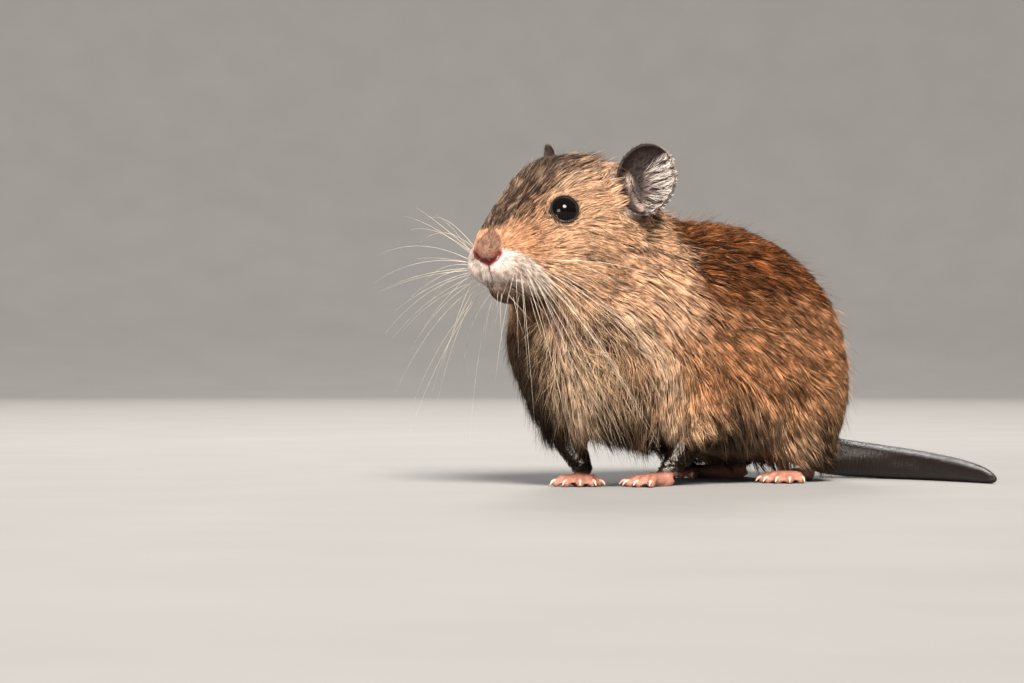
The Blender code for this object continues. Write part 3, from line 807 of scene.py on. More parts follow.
def markings_and_shade(points, normals, masks):
    """The colours of the coat's middle band and tips, the share of black hairs, and root shade."""
    head = to_head(points)
    x, y, z = np.abs(head[:, 0]), head[:, 1], head[:, 2]
    height = points[:, 2]
    aside = across_body(points)
    lateral = np.abs(aside)
    wobble = 2.0 * waves(points, 9.0, 1)

    # The body: brown above, yellowish below, greyer on the chest, with painted shade on the
    # underside.
    up = ramp(22.0, 37.0, height + wobble + 5.0 * normals[:, 2])
    flank = np.tile(FLANK, (len(points), 1))
    coat = Layers(flank, flank * 1.3, 0.16 + 0.26 * up)
    coat.lay(up, BACK_BROWN, BACK_BROWN * 1.25)
    coat.lay(fade(5.0, 17.0, height + wobble), CREAM * 0.62, CREAM, share=(0.5, 0.75))
    # Painted shade: the hair on surfaces that face down is dark.
    coat.lay(ramp(0.35, 0.8, -normals[:, 2]) * fade(18.0, 26.0, height), SHADED_BELLY * 0.8, SHADED_BELLY * 1.15)
    front = fade(-24.0, -11.0, points[:, 1] + 0.35 * lateral) * ramp(-0.2, 0.3, -normals[:, 1])
    front *= fade(26.0, 36.0, height + wobble)
    coat.lay(front, CHEST, PALE * 0.33, share=(0.95, 0.85))
    # Painted shade on the chest's right side, away from the key lamp.
    coat.darken(1.0 - 0.75 * front * ramp(4.0, -1.0, aside))
    # Painted shade: darker and blacker between the forelegs and low on the rump, and darker under
    # the jaw.
    fringe = fade(11.0, 19.0, height) * fade(-5.0, 2.0, points[:, 1]) * fade(8.0, 12.0, lateral)
    under_jaw_shade = front * ramp(21.0, 28.0, height)
    low_rump_shade = ramp(10.0, 22.0, points[:, 1]) * fade(8.0, 18.0, height)
    coat.darken((1.0 - 0.85 * fringe) * (1.0 - 0.3 * under_jaw_shade) * (1.0 - 0.66 * low_rump_shade))
    coat.values[2] = np.maximum(coat.values[2], np.maximum(0.6 * fringe, 0.45 * low_rump_shade)[:, None])
    place = np.column_stack((lateral, points[:, 1], height))
    column = glow(near_path(place, PALE_LINE), 1.9)
    place[:, 0] = aside
    column = np.maximum(column, 0.6 * glow(near_path(place, CHEST_LINE), 1.8))
    patch = np.exp(-(((points[:, 1] + 15.5) / 5.5) ** 2 + ((height - 28.5) / 5.0) ** 2))
    pale = np.maximum(column, patch * ramp(8.0, 13.0, lateral))
    coat.lay(pale, PALE * 0.8, PALE * 1.25, 0.0, share=(0.8, 0.9, 0.6))

    # The head: cheeks with darker and paler lines, the snout, the nape and the dark stripe.
    before = fade(-3.8, 3.8, y + wobble - 33.5 + 0.4 * np.maximum(z - 2.0, 0.0))
    cheek = before * ramp(-12.5, -8.5, z + 0.5 * wobble)
    coat.lay(cheek, CHEEK * 0.95, CHEEK * 1.25, 0.11)
    snout = before * fade(6.0, 11.0, y) * fade(6.0, 9.0, x)
    coat.lay(snout, SNOUT * 0.85, SNOUT * 1.1, share=(0.85, 0.85))
    line = waves(np.column_stack((0.5 * x, 0.28 * y, z + 0.1 * y)), 2.6, 12)
    line *= cheek * ramp(8.0, 13.0, y)
    dark_line = ramp(0.25, 0.8, line)
    coat.darken(1.0 - 0.3 * dark_line)
    coat.values[2] = coat.values[2] + 0.2 * dark_line[:, None]
    coat.lay(ramp(0.25, 0.8, -line), None, CREAM * 1.2, share=(0.0, 0.7))
    crown = before * ramp(8.0, 12.5, z) * fade(8.5, 12.0, x) * ramp(9, 14, y)
    coat.lay(crown, NAPE * 0.9, NAPE * 1.15, 0.22)
    stripe = glow(x + 0.3 * wobble, np.interp(y, STRIPE_BACK, STRIPE_HALF), 6) * ramp(0.2, 1.4, y)
    stripe *= ramp(1.5, 3.0, z) * fade(19.0, 27.0, y)
    coat.lay(stripe, FOREHEAD, GRIZZLE, 0.74, share=(1.0, 0.9, 1.0))

    # Chin in painted shade, lips, the hairs of the nose, the mouth and the roots of the whiskers.
    lip_edge = z + 5.8 + 1.5 * ramp(3.0, 8.0, y)
    jaw = ramp(-11.5, -9.5, z) * fade(-0.6, 0.6, lip_edge) * fade(8.0, 14.0, y)
    coat.lay(jaw, SHADED_CHIN, SHADED_CHIN * 1.8, 0.0)
    lip = fade(8.0, 10.5, y) * fade(-0.4, 0.7, z - 0.1 + 0.073 * y**2) * ramp(-0.6, 0.6, lip_edge)
    coat.lay(lip, LIP * 0.9, LIP * 1.05, 0.0)
    across_nose, over_nose = nose_map(head).T
    bulb = fade(0.85, 1.15, np.hypot(across_nose / 2.9, (over_nose - 1.0) / 2.8))
    bulb *= (y < NOSE_HUB) * ramp(-1.9, -1.3, over_nose)
    coat.lay(bulb, NOSE_SKIN * 1.1, NOSE_HAIR, 0.05)
    coat.lay(masks["mouth"], NOSTRIL_RED * 0.6, NOSTRIL_RED, share=(1.0, 0.7))
    dots = glow(distance_to_points(points, WHISKER_ROOTS), 0.22, 4)
    coat.lay(dots, FOLLICLE, FOLLICLE * 1.8, share=(0.8, 0.7))

    # Round the eyes, painted shadow behind the ears, and on the legs and all that is bare.
    coat.lay(fade(EYE_RADIUS + 0.4, EYE_RADIUS + 1.1, eye_gap(points)), CHEEK * 0.5)
    ear_shadow = glow(norm(np.column_stack((x, y, z)) - EAR_SHADOW), 2.3, 4)
    coat.lay(ear_shadow, SLATE * 0.6, SLATE, share=(0.9, 0.9))
    coat.lay(masks["shin"], SHIN, SHIN * 2.0)
    # Painted highlight: a pale streak down the front of the shins.
    shin_highlight = ramp(0.88, 0.97, normals @ SHIN_HIGHLIGHT_WAY) * masks["shin"]
    coat.lay(shin_highlight * ramp(2.4, 3.2, height) * fade(7.0, 9.5, height), SILVER * 0.7, SILVER)
    for name, colour in (("ear", EAR_SKIN * 1.5), ("tail", TAIL_SKIN), ("pink", FOOT)):
        coat.lay(masks[name], colour, colour * 1.3, 0.0)
    mid, tip, black = coat.values
    return mid, tip, black[:, 0], mix(0.7, 0.2, ramp(14.0, 30.0, norm(head)))


def ear_inside(points, normals):
    """Where the surface is the ear's inner side, and where the silver hairs grow on it."""
    place, _ = ear_places(points)
    facing = nearer_ear(points)[1][:, 2]
    inner = ramp(-0.1, 0.3, (normals @ HEAD.T * facing).sum(1))
    silver = inner * fade(0.2, 1.2, place[:, 0] + 0.25 * np.maximum(-place[:, 1] - 3.0, 0))
    silver *= fade(-0.6, 0.8, place[:, 1] - 2.1 + 0.58 * place[:, 0])
    return inner, silver


def ear_colour(points, normals):
    head = to_head(points)
    inner, silver = ear_inside(points, normals)
    ear = mix(EAR_SKIN * 0.35, EAR_SKIN * 1.2, silver[:, None])
    ear = mix(EAR_SKIN * 0.7, ear, inner[:, None])
    place, rim = ear_places(points)
    bright = distance_to_points(np.column_stack((np.abs(head[:, 0]), head[:, 1:])), EAR_SPOTS)
    for ridge in EAR_RIDGES:
        fold = inner * glow(near_path(place, [spot for spot, _ in ridge]), 0.75, 4)
        ear = blend(ear, EAR_FOLD * 0.35, fold)
        ear = blend(ear, EAR_FOLD * 1.6, fold * glow(bright, 1.1))
    return blend(ear, EAR_RIM * 0.8, ramp(0.98, 1.0, rim))


def skin_colours(points, normals, masks):
    """The colour and the roughness of the skin itself, which is darker than the coat on it."""
    mid, _, _, _ = markings_and_shade(points, normals, masks)
    head = to_head(points)
    colour = mix(mid * 0.3, mid * 0.85, fade(6.0, 14.0, norm(head))[:, None])
    front = nose_map(head)
    ahead_of = head[:, 1] < NOSE_HUB
    band = near_path(front, [(0.0, -1.8), *NOSTRIL])
    philtrum = near_path(front, PHILTRUM)
    _, gap, angle = about_eye(points, eye_axes)
    near = gap < EYE_RADIUS + 1.5
    # A painted reflection: a pale line along the wet rim of the lower lid.
    lid_reflection = glow(angle - LID_ANGLE - 2.0, 0.8) * ramp(0.1, -0.6, normals[:, 2])
    for target, weight in (
        (NOSE_SKIN, masks["nose"] * ramp(-1.7, -1.1, head[:, 2])),
        (NOSTRIL_RED * 2.2, ahead_of * glow(band, 0.75, 4)),
        (NOSTRIL_RED, ahead_of * glow(band, 0.42, 4)),
        (NOSTRIL_RED * 1.2, ahead_of * glow(philtrum, 0.36, 4)),
        (NOSTRIL_RED * 0.6, 0.9 * masks["mouth"]),
        (CHEEK * 0.2, fade(EYE_RADIUS + 0.8, EYE_RADIUS + 2.0, gap)),
        (LID, near * fade(LID_ANGLE + 7, LID_ANGLE + 11, angle)),
        (LID_REFLECTION, near * lid_reflection),
        (mid * 0.8, masks["shin"]),
        (ear_colour(points, normals), masks["ear"]),
        (FOOT, masks["pink"]),
        (TAIL_SKIN, masks["tail"]),
    ):
        colour = blend(colour, target, weight)
    rough = 0.62 - 0.1 * masks["shin"] - 0.3 * masks["pink"] - 0.46 * masks["tail"]
    rough -= 0.12 * masks["ear"]
    return colour, mix(rough, 0.95, fade(EYE_RADIUS + 0.2, EYE_RADIUS + 0.5, gap))


# ---------------------------------------- the lie of the coat

# Each line is a place, the way that the hair lies there, and how far that holds, for the left
# side. The first list is from the body's middle plane, in the frame. The second is in the head's
# axes.
BODY_LIE = [
    ((0, -8, 45), (0, 1, -0.1), 8), ((0, 5, 44), (0, 1, 0), 9),
    ((0, 18, 42), (0, 1, -0.2), 9), ((0, 30, 34), (0, 0.7, -0.7), 8),
    ((0, 35, 20), (0, 0.1, -1), 9), ((13, -6, 34), (0, 0.8, -0.6), 7),
    ((17, 8, 30), (0, 0.82, -0.55), 9), ((16, 20, 30), (0, 0.75, -0.65), 8),
    ((18, 27, 18), (0, 0.3, -1), 8), ((16, 24, 9), (0, 0.15, -1), 6),
    ((18, 6, 18), (0.1, 0.72, -0.7), 8), ((15, 4, 9), (0.1, 0.6, -0.8), 6),
    ((14, -10, 18), (0.05, 0.35, -0.95), 7), ((12, -20, 22), (0.1, 0.2, -1), 7),
    ((14, -8, 9), (0.1, 0.1, -1), 5), ((6, -28, 14), (0.1, 0.1, -1), 7),
    ((0, -31, 20), (0, 0.05, -1), 7), ((2, -32, 27), (0.05, 0.1, -1), 6),
    ((9, -28, 26), (0.15, 0.4, -0.9), 6), ((0, -29, 10), (0, 0.3, -1), 6),
    ((6, 0, 4), (0.1, 1, -0.2), 9), ((6, 18, 5), (0.1, 1, -0.2), 9),
    ((11, -16, 30), (0.05, 0.7, -0.7), 7),
]
HEAD_LIE = [
    ((0, 1, 2), (0, 0.7, 0.7), 3), ((0, 6, 6), (0, 1, 0.6), 6),
    ((0, 15, 13), (0, 1, 0.4), 7), ((0, 26, 17), (0, 1, 0), 8),
    ((4, 5, 0), (0.25, 1, 0.15), 4), ((7, 10, -1), (0.2, 1, -0.1), 5),
    ((10, 17, 0), (0.1, 0.95, -0.35), 6), ((8, 12, 3.5), (0.1, 1, -0.1), 4),
    ((7, 11, 9), (0.25, 1, 0.35), 4), ((10, 17, 9), (0.1, 1, 0.1), 5),
    ((3, 1.5, -4), (0.15, 0.6, -0.8), 3), ((4, 5, -5), (0.1, 0.8, -0.6), 4),
    ((0, 4, -8), (0, 1, -0.3), 5), ((5, 12, -9), (0.1, 0.55, -0.85), 5),
    ((9, 14, -6), (0.1, 0.9, -0.55), 5), ((11, 24, 2), (0.05, 0.9, -0.5), 6),
    ((9, 24, 13), (0.1, 1, -0.1), 5),
]


def lie_from(rows, points, across, least=0.0):
    """The sum of the ways in rows, each by how near its place is, for both sides."""
    folded = np.column_stack((np.abs(across), points[:, 1:]))
    total = np.zeros_like(points)
    for place, way, reach in rows:
        weight = np.exp(-((folded - place) ** 2).sum(1) / reach**2) + least
        total += weight[:, None] * unit(np.array(way, float))
    total[:, 0] *= np.sign(across)
    return total


def lie_of_coat(points, normals):
    lateral = across_body(points)
    total = lie_from(BODY_LIE, points, lateral, 1e-9)
    # On the chest the hair parts on both sides of the pale line.
    line = np.array(CHEST_LINE)[::-1]
    gap = lateral - np.interp(points[:, 2], line[:, 2], line[:, 0])
    chest = ramp(-18.0, -24.0, points[:, 1]) * ramp(30.0, 24.0, points[:, 2])
    total[:, 0] += 0.75 * chest * np.clip(gap / 2.0, -1.0, 1.0) * glow(gap, 6.0)
    head = to_head(points)
    total += 1.5 * lie_from(HEAD_LIE, head, head[:, 0]) @ HEAD
    flow = flat_on(total, normals)
    turn = (0.22 * waves(points, 11.0, 5) + 0.12 * waves(points, 5.0, 6))[:, None]
    return flat_on(flow * np.cos(turn) + np.cross(normals, flow) * np.sin(turn), normals)


def hair_length(points, normals, masks):
    """Length of the coat's hair and how wide its tufts are."""
    far = face_reach(points)
    length = 0.9 + 1.2 * ramp(2.5, 9.0, far) + 2.0 * ramp(9.0, 19.0, far)
    length += 2.2 * ramp(20.0, 38.0, far) + 0.9 * glow(far - 16.0, 5.0)
    fringe = ramp(0.1, 0.6, -normals[:, 2]) * fade(-12.0, -6.0, points[:, 1])
    length += 1.6 * fringe * fade(12.0, 17.0, points[:, 2])
    length = mix(length, 2.8, masks["arm"])
    length = mix(length, 0.9, ramp(0.0, 0.4, masks["shin"]))
    place, rim = ear_places(points)
    before_ear = ramp(0.0, 2.0, place[:, 0]) * (np.abs(place[:, 2]) < 6.0)
    length *= 1.0 - 0.62 * fade(1.0, 1.7, rim) * before_ear
    length *= 0.45 + 0.55 * ramp(0.6, 4.0, eye_gap(points) - EYE_RADIUS)
    return length, 0.026 + 0.022 * ramp(3.0, 14.0, far) + 0.032 * ramp(16.0, 34.0, far)


# ---------------------------------------- the unwrap that the coat is baked on


def make_unwrap():
    """A coarse copy of the skin with a map, from which each tuft takes its own place."""
    plain = skin.copy()
    plain.data = skin.data.copy()
    bpy.context.scene.collection.objects.link(plain)
    coarse = plain.modifiers.new("Coarse", "REMESH")
    coarse.mode = "VOXEL"
    coarse.voxel_size = 1.1 * MM
    apply_modifiers(plain)
    bpy.ops.object.select_all(action="DESELECT")
    plain.select_set(True)
    bpy.context.view_layer.objects.active = plain
    data = plain.data
    data.uv_layers.new(name="OFBake")
    bpy.ops.object.mode_set(mode="EDIT")
    bpy.ops.mesh.select_all(action="SELECT")
    bpy.ops.uv.smart_project(angle_limit=math.radians(66), island_margin=0.004)
    bpy.ops.object.mode_set(mode="OBJECT")
    places = triangles_of(data)
    corners = read(data.loop_triangles, "loops", 3, np.int32)
    maps = read(data.uv_layers["OFBake"].data, "uv", 2)
    points = points_of(plain)
    tree = BVHTree.FromPolygons(points.tolist(), places.tolist())
    bpy.data.objects.remove(plain)
    return tree, points[places], maps[corners]


def map_places(unwrap, roots):
    """Where each root lies on the unwrap."""
    tree, triangles, maps = unwrap
    found = [tree.find_nearest(Vector(root)) for root in roots]
    rows = [index for _, _, index, _ in found]
    p = np.array([place for place, _, _, _ in found])
    a, b, c = triangles[rows].transpose(1, 0, 2)
    area = norm(np.cross(b - a, c - a))
    wa = np.minimum(norm(np.cross(b - p, c - p)) / area, 1.0)[:, None]
    wb = np.minimum(norm(np.cross(c - p, a - p)) / area, 1.0)[:, None]
    ua, ub, uc = maps[rows].transpose(1, 0, 2)
    return np.clip(ua * wa + ub * wb + uc * (1 - wa - wb), MAP_EDGE, 1.0 - MAP_EDGE)


# ---------------------------------------- tufts

PROFILE = {2: (0.85, 0.75), 3: (0.75, 1.0, 0.62)}  # a tuft's width at its rings
PATCH = 0.003  # a tuft's size on the map
MAP_EDGE = 0.002
ROOT_DEPTH = 0.12  # how far the tufts start under the skin
LINE_FLOOR, TUFT_FLOOR = 0.4, 0.03  # the least heights of tufts' lines and of their corners
PALE_TIPS = 0.2  # the share of tufts with a cream tip
BAND = 0.34  # where along a tuft its root's colour has given way to the middle band


def looseness(points, normals):
    """How far the hair leaves the surface to hang straight, on the lower edges and the chest."""
    edge = ramp(-0.15, 0.45, -normals[:, 2]) * fade(0.7, 0.95, -normals[:, 2])
    edge *= fade(14.0, 22.0, points[:, 2])
    chest = ramp(0.3, 0.8, -normals[:, 1]) * fade(22.0, 30.0, points[:, 2])
    return np.clip(0.9 * edge + 0.35 * chest, 0.0, 0.95)[:, None], 1.3 * edge


def walk(roots, normals, flow, length, depth, steps, rise):
    """The lines of tufts: along the surface, lifting to the coat's depth."""
    loose, hang = looseness(roots, normals)
    down = np.array((0.0, 0.0, -1.0)) * hang[:, None]
    lines = np.empty((len(roots), steps + 1, 3))
    lines[:, 0] = roots - normals * ROOT_DEPTH
    place, way, up = roots, flow, normals
    straight, lean = roots, normals
    stride = (length / steps)[:, None]
    for k in range(1, steps + 1):
        t = k / steps
        place, up = surface.nearest(place + way * stride)
        way = flat_on(way, up)
        straight = straight + unit(unit(mix(way, flow, 0.6)) + down) * stride
        lean = unit(mix(lean, up, 0.3))
        lift = (depth * (1 - (1 - t) ** 1.7) + rise * t**2)[:, None]
        lines[:, k] = mix(place + up * lift, straight + lean * lift, loose)
    lines[:, 1:, 2] = np.maximum(lines[:, 1:, 2], LINE_FLOOR)
    return lines, up


def tuft_faces(rings):
    faces = [(0, 1, 2)]
    for k in range(rings - 1):
        for corner in range(3):
            a, b = 3 * k + corner, 3 * k + (corner + 1) % 3
            faces += [(a, a + 3, b), (b, a + 3, b + 3)]
    last = 3 * (rings - 1)
    faces += [(last + corner, last + 3, last + (corner + 1) % 3) for corner in range(3)]
    return np.array(faces)


def tuft_mesh(name, lines, ups, widths, colours, spots):
    """Three-sided tufts along lines, with a colour at each step, in one object."""
    count, rings = lines.shape[0], lines.shape[1] - 1
    along = np.empty_like(lines)
    along[:, 1:-1] = lines[:, 2:] - lines[:, :-2]
    along[:, 0] = lines[:, 1] - lines[:, 0]
    along[:, -1] = lines[:, -1] - lines[:, -2]
    along = unit(along)
    across = unit(np.cross(along, ups[:, None, :]))
    over = np.cross(across, along)
    tall = 3 * rings + 1
    points, tones = np.empty((count, tall, 3)), np.empty((count, tall, 3))
    spread = np.empty((count, tall, 2))
    for k in range(rings):
        half = (widths * PROFILE[rings][k])[:, None]
        for corner, angle in enumerate((90.0, 210.0, 330.0)):
            c, s = math.cos(math.radians(angle)), math.sin(math.radians(angle))
            at = 3 * k + corner
            points[:, at] = lines[:, k] + half * (across[:, k] * c + over[:, k] * s * 0.6)
            tones[:, at] = colours[:, k]
            spread[:, at] = (c * 0.5, k / rings - 0.5 + s * 0.12)
    points[:, -1], tones[:, -1], spread[:, -1] = lines[:, -1], colours[:, -1], (0.0, 0.5)
    points[:, :, 2] = np.maximum(points[:, :, 2], TUFT_FLOOR)
    corners = tuft_faces(rings).ravel()[None] + tall * np.arange(count)[:, None]
    corners = corners.ravel().astype(np.int32)
    data = bpy.data.meshes.new(name)
    data.vertices.add(count * tall)
    data.loops.add(len(corners))
    data.loops.foreach_set("vertex_index", corners)
    data.polygons.add(len(corners) // 3)
    data.polygons.foreach_set("loop_start", np.arange(0, len(corners), 3, dtype=np.int32))
    obj = add_object(name, data)
    set_points(obj, points)
    data.update(calc_edges=True)
    place = (spots[:, None] + PATCH * spread).reshape(-1, 2)
    layer = data.uv_layers.new(name="OFBake")
    layer.data.foreach_set("uv", place[corners].astype(np.float32).ravel())
    set_attribute(obj, "tone", "FLOAT_COLOR", tones.reshape(-1, 3))
    return obj


def within(colours, most=0.9):
    """Colours made darker where a channel is above the most, in the same hue."""
    return colours / np.maximum(colours.max(-1, keepdims=True) / most, 1.0)


def banded(mid, tip, black, depth, steps, shade):
    """Colours along each tuft: a dark root, the middle's colour, then the tip's or black."""
    count = len(mid)
    dark = (rng.random(count) < black)[:, None]
    pale = (rng.random(count) < PALE_TIPS)[:, None]
    brightest = tip.max(1, keepdims=True)
    soft = ramp(0.04, 0.15, brightest) * mix(0.2, 0.6, ramp(0.15, 0.6, brightest))
    tip = np.where(pale, mix(tip, CREAM, soft) * 1.15, tip)
    slate = 0.5 * fade(0.6, 0.9, mid.max(1, keepdims=True))
    root = mix(mid * mix(1.0, depth[:, None], 2.0 * slate), SLATE, slate)
    colours = np.empty((count, steps + 1, 3))
    for k in range(steps + 1):
        t = k / steps
        colour = mix(root, mid, t / BAND) if t < BAND else mix(mid, tip, (t - BAND) / (1.0 - BAND))
        sooty = mix(colour, BLACK, 0.92 * min(1.0, 0.5 + t))
        colours[:, k] = np.where(dark, sooty, colour)
    return within(colours * shade[:, None, None])


# ---------------------------------------- materials


def add_node(tree, kind, inputs=(), **settings):
    """A node with settings. An input is given a value, or the socket that feeds it."""
    node = tree.nodes.new(kind)
    for name, value in settings.items():
        setattr(node, name, value)
    for key, value in dict(inputs).items():
        if isinstance(value, bpy.types.NodeSocket):
            tree.links.new(value, node.inputs[key])
        else:
            node.inputs[key].default_value = value
    return node


def new_material(name, roughness, specular=0.5):
    material = bpy.data.materials.new(name)
    material.use_nodes = True
    shader = material.node_tree.nodes["Principled BSDF"]
    shader.inputs["Roughness"].default_value = roughness
    shader.inputs["Specular IOR Level"].default_value = specular
    return material, material.node_tree, shader


def attribute(tree, name, output):
    return add_node(tree, "ShaderNodeAttribute", attribute_name=name).outputs[output]


def noise_of(tree, scale, detail=4.0, vector=None):
    if vector is None:
        vector = add_node(tree, "ShaderNodeTexCoord").outputs["Object"]
    inputs = {"Scale": scale, "Detail": detail, "Vector": vector}
    return add_node(tree, "ShaderNodeTexNoise", inputs).outputs["Fac"]


def tinted(tree, colour, fac, low, high, start=0.3, end=0.7):
    """The colour, darker and lighter with fac, from low to high."""
    inputs = {"From Min": start, "From Max": end, "To Min": low, "To Max": high, "Value": fac}
    scale = add_node(tree, "ShaderNodeMapRange", inputs).outputs["Result"]
    inputs = {0: colour, "Scale": scale}
    return add_node(tree, "ShaderNodeVectorMath", inputs, operation="SCALE").outputs["Vector"]


def plain_colour(tree, colour):
    base = add_node(tree, "ShaderNodeRGB")
    base.outputs[0].default_value = (*colour, 1.0)
    return base.outputs[0]


def skin_material():
    material, tree, shader = new_material("skin", 0.55, 0.28)
    hairs = noise_of(tree, 1.0, 3.0, attribute(tree, "grain", "Vector"))
    colour = tinted(tree, attribute(tree, "tone", "Color"), hairs, 0.6, 1.35)
    tree.links.new(colour, shader.inputs["Base Color"])
    tree.links.new(attribute(tree, "rough", "Fac"), shader.inputs["Roughness"])
    height = attribute(tree, "rings", "Fac")
    for relief in (noise_of(tree, 4200.0, 3.0), hairs):
        inputs = {0: height, 1: relief}
        height = add_node(tree, "ShaderNodeMath", inputs, operation="ADD").outputs[0]
    inputs = {"Strength": 0.5, "Distance": 0.00012, "Height": height}
    bump = add_node(tree, "ShaderNodeBump", inputs)
    tree.links.new(bump.outputs["Normal"], shader.inputs["Normal"])
    return material


def hair_material():
    material, tree, shader = new_material("coat", 0.6, 0.06)
    tone = attribute(tree, "tone", "Color")
    colour = tinted(tree, tone, noise_of(tree, 900.0, 2.0), 0.82, 1.18)
    tree.links.new(colour, shader.inputs["Base Color"])
    return material


def plain_material(name, colour, roughness, specular, scale, low, high):
    material, tree, shader = new_material(name, roughness, specular)
    tone = tinted(tree, plain_colour(tree, colour), noise_of(tree, scale), low, high)
    tree.links.new(tone, shader.inputs["Base Color"])
    return material


# ---------------------------------------- dressing the skin

TAIL_RING = 0.75  # from one ring of the tail to the next


def tail_distance(points):
    """Distance along the tail of the nearest point of its middle line."""
    rows = tail_rows(24)
    reach = np.concatenate(([0.0], np.cumsum(norm(np.diff(rows, axis=0)))))
    index = nearest_rows(rows, points)
    return reach[index] + ((points - rows[index]) * tail_ways(rows, index)).sum(1)


def dress_skin():
    points, normals = points_of(skin), normals_of(skin)
    colour, rough = skin_colours(points, normals, skin_masks)
    set_attribute(skin, "tone", "FLOAT_COLOR", colour)
    set_attribute(skin, "rough", "FLOAT", rough)
    flow = lie_of_coat(points, normals)
    # Noise that is stretched along the lie, in units of its own size.
    across = (points * np.cross(normals, flow)).sum(1)
    grain = np.column_stack((across * 7.0, (points * flow).sum(1) * 1.2, points[:, 2] * 0.6))
    set_attribute(skin, "grain", "FLOAT_VECTOR", grain)
    rings = np.zeros(len(points))
    tail = np.flatnonzero(skin_masks["tail"] > 0.02)
    wave = np.sin(tail_distance(points[tail]) * 2 * math.pi / TAIL_RING)
    rings[tail] = 0.35 * skin_masks["tail"][tail] * wave
    set_attribute(skin, "rings", "FLOAT", rings)
    finish_surface(skin, skin_material())
    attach(skin, "root")
    flesh = [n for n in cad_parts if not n.startswith("eye")]
    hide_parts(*flesh)


dress_skin()
unwrap = make_unwrap()
print("unwrapped")

# ---------------------------------------- the coat

TUFTS = {"body": 59000, "face": 35500, "strays": 6200, "ears": 7500, "feet": 1200, "tail": 1400}
GUIDES = 3600  # lines that the tufts near them lean to
CLUMP_PULL = (0.0, 0.22, 0.5, 0.78)  # how far the guides draw a tuft, from its root to its tip
CREST = ((0.0, 19.0, 14.0), (8.0, 21.0, 14.0))  # between the ears, where the hairs stand up


def outside_lids(points):
    _, reach, angle = about_eye(points, eye_axes)
    return (reach > EYE_RADIUS + 1.5) | (angle > LID_ANGLE + 8.0)


def lay_out(count, density, steps, scruff, rise, depth_share):
    """Roots and lines of tufts."""
    roots, normals, masks = surface.scatter(count, density)
    clear = outside_lids(roots)
    roots, normals = roots[clear], normals[clear]
    masks = {k: v[clear] for k, v in masks.items()}
    count = len(roots)
    length, width = hair_length(roots, normals, masks)
    depth = coat_depth(roots, masks)
    flow = lie_of_coat(roots, normals)
    chest = ramp(0.2, 0.7, -normals[:, 1]) * fade(26.0, 32.0, roots[:, 2])
    chest *= fade(-24.0, -16.0, roots[:, 1])
    sway = rng.normal(0, 1.0, count) * scruff * (1.0 + 0.9 * chest)
    flow = flat_on(flow + np.cross(normals, flow) * sway[:, None], normals)
    length = length * rng.uniform(0.8, 1.12, count)
    lift = depth * rng.uniform(*rise, count)
    crest = near_path(np.abs(to_head(roots)), CREST)
    lift += rng.uniform(0.2, 1.6, count) * fade(3.0, 6.0, crest)
    share = np.maximum(depth, 0.2) * rng.uniform(*depth_share, count)
    lines, ups = walk(roots, normals, flow, length, share, steps, lift)
    return roots, normals, masks, width, lines, ups


def coat_markings_and_shade(roots, lines, ups, masks):
    """Markings and painted shade where the outer part of each tuft lies over the skin."""
    places = mix(roots, lines[:, -1], 0.65)
    over = ((places - roots) * ups).sum(1)
    return markings_and_shade(places - ups * over[:, None], ups, masks)


def finish_coat(name, lines, ups, widths, colours, roots, pieces=1):
    spots = map_places(unwrap, roots)
    order = np.argsort(roots[:, 1])
    for k, rows in enumerate(np.array_split(order, pieces)):
        piece = tuft_mesh(
            f"{name}_{k + 1}", lines[rows], ups[rows], widths[rows], colours[rows], spots[rows]
        )
        finish_surface(piece, coat_look)
        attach(piece, "root")


def grow(name, count, steps, density, pieces, pull=1.0, contrast=0.4):
    """Tufts over the skin by density, drawn together at the tips by guides."""
    roots, _, masks, width, lines, ups = lay_out(
        count, density, steps, 0.12, (-0.08, 0.3), (0.75, 1.02)
    )
    guide_roots, _, _, _, guide_lines, _ = lay_out(
        GUIDES, density, steps, 0.2, (0.0, 0.35), (0.8, 1.05)
    )
    jitter = roots + rng.normal(0, 0.2, roots.shape) * (width / 0.085)[:, None]
    owner = nearest_rows(guide_roots, jitter)
    count = len(roots)
    strength = pull * rng.uniform(0.5, 1.1, count)
    for k in range(1, steps + 1):
        part = np.interp(k / steps, (0, 1 / 3, 2 / 3, 1), CLUMP_PULL) * strength
        lines[:, k] = mix(lines[:, k], guide_lines[owner, k], np.clip(part, 0, 0.9)[:, None])
    mid, tip, black, depth = coat_markings_and_shade(roots, lines, ups, masks)
    clump_shade = np.exp(rng.normal(0.0, 0.32, len(guide_roots)))
    clump_black = rng.uniform(0.2, 1.8, len(guide_roots))
    shade = clump_shade[owner] * np.exp(rng.normal(0.0, contrast, count))
    black = np.clip(black * clump_black[owner], 0, 0.9)
    colours = banded(mid, tip, black, depth, steps, np.clip(shade, 0.35, 1.9))
    widths = width * rng.uniform(0.7, 1.25, count)
    finish_coat(name, lines, ups, widths, colours, roots, pieces)


